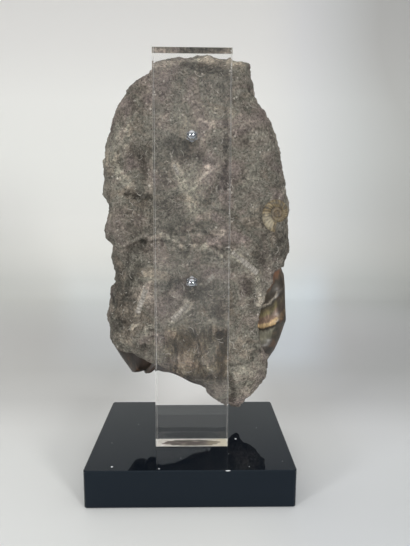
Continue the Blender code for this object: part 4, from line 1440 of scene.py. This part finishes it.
def make_dust(material):
    """Grains of dust on the base's top, and the bright bruises on its front edge."""
    chance = random.Random(7)
    bm = bmesh.new()
    for x, y, size in DUST:
        lump = bmesh.ops.create_icosphere(bm, subdivisions=2, radius=size * MM)["verts"]
        stretch = chance.uniform(1.0, 1.6)
        for vertex in lump:
            shape = 1 + 0.35 * noise.noise(vertex.co / MM * 2 + Vector((x, y, 0)))
            wide, deep, high = vertex.co
            vertex.co = Vector((wide * stretch * shape, deep * shape, high * 0.5 * shape))
            vertex.co += Vector((x, y, BASE_HIGH[2] + 0.15 * size)) * MM
    for x, half_length, depth in EDGE_CHIPS:
        lump = bmesh.ops.create_icosphere(bm, subdivisions=3, radius=1.0)["verts"]
        for vertex in lump:
            shape = 1 + 0.4 * noise.noise(vertex.co * 2.3 + Vector((x, 0, 0)))
            wide, deep, high = vertex.co
            place = Vector((wide * half_length, deep * 0.55 * depth, high * 0.6 * depth)) * shape
            vertex.co = (place + Vector((x, BASE_LOW[1] + CHIP_INSET, BASE_HIGH[2] - CHIP_INSET))) * MM
    finished_piece("base_dust", bm, material)


# The paper's painted light and shade by travel from just before the object, over the floor and up the wall:
# dim in front, a shaded band on the floor behind the object, and brighter up the wall
PAPER = (
    (0.000, (0.370, 0.384, 0.398)),
    (0.030, (0.720, 0.737, 0.740)),
    (0.045, (0.721, 0.737, 0.739)),
    (0.086, (0.711, 0.724, 0.722)),
    (0.110, (0.684, 0.691, 0.687)),
    (0.140, (0.564, 0.567, 0.562)),
    (0.182, (0.516, 0.517, 0.509)),
    (0.244, (0.541, 0.540, 0.535)),
    (0.346, (0.598, 0.604, 0.592)),
    (0.441, (0.653, 0.662, 0.640)),
    (0.487, (0.790, 0.791, 0.761)),
    (0.525, (0.871, 0.869, 0.842)),
    (0.600, (0.926, 0.927, 0.895)),
    (0.665, (0.952, 0.947, 0.916)),
    (0.730, (0.893, 0.879, 0.855)),
    (0.770, (0.865, 0.851, 0.828)),
)


def paper_look():
    """Pale paper with painted light and shade: toned along its length, dimmer and cooler to the right, and
    lit behind the object.
    """
    look = Look("stage_paper")
    across = look.axis(look.place, "X")
    travel = look.attribute("travel")
    on_wall = look.span(travel, 0.14, 0.36)
    on_floor = look.math("SUBTRACT", 1.0, on_wall)
    # Painted shade: dimmer and cooler towards the right, on the floor, up the wall and near the object.
    floor_side = look.times(on_floor, look.span(across, 0.02, 0.40))
    wall_side = look.times(on_wall, look.span(across, 0.15, 0.70, 0.0, 1.6))
    wall_side = look.times(wall_side, look.span(travel, 0.60, 0.76, 1.0, 1.35))
    near_side = look.span(across, 0.02, 0.10, 0.0, 0.32)
    near_side = look.times(look.span(travel, 0.10, 0.05), near_side)
    side = look.plus(look.plus(floor_side, wall_side), near_side)
    tone = look.toned(look.grade(travel, PAPER), look.times(side, 0.5), (
        (0.0, (1.0, 1.0, 1.0)),
        (0.2, (0.90, 0.91, 0.94)),
        (0.5, (0.77, 0.785, 0.80)),
        (0.8, (0.64, 0.645, 0.645)),
    ))
    aside = look.math("ABSOLUTE", across)
    # A painted pool of light on the floor close behind the base.
    light_behind_base = look.times(look.span(travel, 0.09, 0.13), look.span(travel, 0.40, 0.20))
    light_behind_base = look.times(light_behind_base, look.span(aside, 0.115, 0.0))
    tone = look.mix(light_behind_base, tone, look.mix(1.0, tone, (1.45, 1.45, 1.47), "MULTIPLY"))
    lit = look.times(look.span(travel, 0.14, 0.22), look.span(travel, 0.49, 0.40))
    fan = look.math("MULTIPLY_ADD", travel, -0.72, third=aside)
    lit = look.times(lit, look.span(fan, 0.10, 0.0))
    lit = look.times(lit, look.span(across, -0.05, 0.05, 0.4, 1.0))
    tone = look.mix(lit, tone, look.mix(1.0, tone, (1.18, 1.25, 1.33), "MULTIPLY"))
    return look.principled(Base_Color=tone, Roughness=0.95, Specular_IOR_Level=0.1)


# The stage in metres: its front edge, wall, sweep's radius, height and half width, how far it lies under the
# base, and the length along it where the paper's tones begin and over which they run
STAGE_FRONT_Y = -2.4
WALL_Y = 0.95
SWEEP = 0.22
WALL_TOP = 2.6
STAGE_HALF_WIDTH = 2.2
STAGE_DROP = 0.0002
TONES_BEGIN = 2.2
TONES_LENGTH = 2.4


def make_stage():
    """A pale floor that sweeps up into a wall."""
    rows = [(y, 0.0) for y in np.linspace(STAGE_FRONT_Y, WALL_Y - SWEEP, 60)]
    for turn in np.linspace(0, math.pi / 2, 20)[1:]:
        rows.append((WALL_Y - SWEEP + SWEEP * math.sin(turn), SWEEP - SWEEP * math.cos(turn)))
    rows += [(WALL_Y, z) for z in np.linspace(SWEEP, WALL_TOP, 40)[1:]]
    columns = np.linspace(-STAGE_HALF_WIDTH, STAGE_HALF_WIDTH, 45)
    points = [(x, y, z - STAGE_DROP) for y, z in rows for x in columns]
    width = len(columns)
    faces = []
    for row in range(len(rows) - 1):
        for column in range(width - 1):
            a = row * width + column
            faces.append((a, a + 1, a + width + 1, a + width))
    stage = new_object("stage_sweep", points, faces, paper_look())
    travel = np.cumsum([0.0] + [math.dist(a, b) for a, b in zip(rows[:-1], rows[1:])])
    travel = np.clip((travel - TONES_BEGIN) / TONES_LENGTH, 0, 1)
    set_attribute(stage.data, "travel", np.repeat(travel, width))
    stage.data.shade_smooth()


# The two windows: name, place and size in metres, and power; both face one point and have one colour
WINDOWS = (
    ("window_left", (-1.25, -1.15, 0.45), (0.36, 0.44), 13.5),
    ("window_right", (0.95, -1.35, 0.45), (0.32, 0.42), 15.5),
)
WINDOWS_FACE = (0, 0, 0.2)
WINDOW_COLOR = (1.0, 0.985, 0.96)


def make_window(name, place, size, power):
    """A soft rectangular light."""
    data = bpy.data.lights.new(name, "AREA")
    data.shape = "RECTANGLE"
    data.size, data.size_y = size
    data.energy = power
    data.color = WINDOW_COLOR
    light = linked(name, data)
    light.location = place
    light.rotation_euler = (Vector(WINDOWS_FACE) - Vector(place)).to_track_quat("-Z", "Y").to_euler()


# The room's brightness by height of view, from the horizon to straight up
ROOM = (
    (0.0, (0.045, 0.052, 0.062)),
    (0.16, (0.055, 0.063, 0.074)),
    (0.42, (0.095, 0.102, 0.110)),
    (0.72, (0.250, 0.248, 0.242)),
    (1.0, (0.520, 0.510, 0.490)),
)
ROOM_STRENGTH = 2.9


def make_light():
    """A dim room that grows brighter overhead, and two windows ahead on the left and right."""
    world = bpy.data.worlds.new("studio")
    world.use_nodes = True
    nodes = world.node_tree.nodes
    links = world.node_tree.links
    parts = nodes.new("ShaderNodeSeparateXYZ")
    links.new(nodes.new("ShaderNodeTexCoord").outputs["Generated"], parts.inputs[0])
    ramp = nodes.new("ShaderNodeValToRGB")
    links.new(parts.outputs["Z"], ramp.inputs["Fac"])
    fill_ramp(ramp.color_ramp, ROOM)
    links.new(ramp.outputs["Color"], nodes["Background"].inputs["Color"])
    nodes["Background"].inputs["Strength"].default_value = ROOM_STRENGTH
    bpy.context.scene.world = world
    for window in WINDOWS:
        make_window(*window)


# The camera's place in millimetres, its turns in degrees and its focal length in pixels, worked out from the
# corners of the base and the plate in the photograph
CAMERA_PLACE = (4.62, -366.47, 219.2)
CAMERA_PITCH = 7.58
CAMERA_ROLL = 0.278
CAMERA_YAW = 1.043
CAMERA_FOCUS_PIXELS = 440.08
FRAME_LONG_SIDE = 546
SENSOR_WIDTH = 36.0
CLIP_START = 0.01


def make_camera():
    """Looks at the nuts' side, a little down, as the photograph does."""
    pitch = math.radians(CAMERA_PITCH)
    yaw = math.radians(CAMERA_YAW)
    roll = math.radians(CAMERA_ROLL)
    forward = Vector((math.sin(yaw) * math.cos(pitch), math.cos(yaw) * math.cos(pitch), -math.sin(pitch)))
    level = Vector((math.cos(yaw), -math.sin(yaw), 0))
    upright = level.cross(forward)
    right = math.cos(roll) * level + math.sin(roll) * upright
    up = math.cos(roll) * upright - math.sin(roll) * level
    data = bpy.data.cameras.new("camera")
    data.sensor_width = SENSOR_WIDTH
    data.lens = data.sensor_width * CAMERA_FOCUS_PIXELS / FRAME_LONG_SIDE
    data.clip_start = CLIP_START
    camera = linked("camera", data)
    turn = Matrix((right, up, -forward)).transposed().to_4x4()
    camera.matrix_world = Matrix.Translation(Vector(CAMERA_PLACE) * MM) @ turn
    bpy.context.scene.camera = camera


def main():
    make_camera()
    make_stage()
    make_light()
    black_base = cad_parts["black_base"]
    black_base.data.materials.clear()
    black_base.data.materials.append(black_look())
    rock = make_rock(limestone_look())
    find = back_surface(rock)
    scraps = scrap_look()
    make_stems(find, scraps)
    make_scraps(find, scraps)
    great_shell = shell_look("great_shell", PATINA)
    shell = shell_look("polished_shell", ())
    make_coil("great_ammonite", GREAT_COIL, great_shell, COIL_STEP, full_ring=True)
    for number, coil in enumerate(FRONT_COILS[1:], start=1):
        step = min(COIL_STEP, coil.radius / STEPS_IN_RADIUS)
        make_coil(f"front_ammonite_{number}", coil, shell, step)
    make_coil("back_ammonite", BACK_COIL, ochre_look(), BACK_COIL_STEP, side=-1)
    make_plate(acrylic_look())
    make_cement()
    chrome = chrome_look()
    for number, height in enumerate(STUD_HEIGHTS):
        make_nut(number, height, chrome)
        make_stud(number, height, chrome)
    make_dust(dust_look())
    bpy.context.scene.view_settings.view_transform = "Standard"


main()
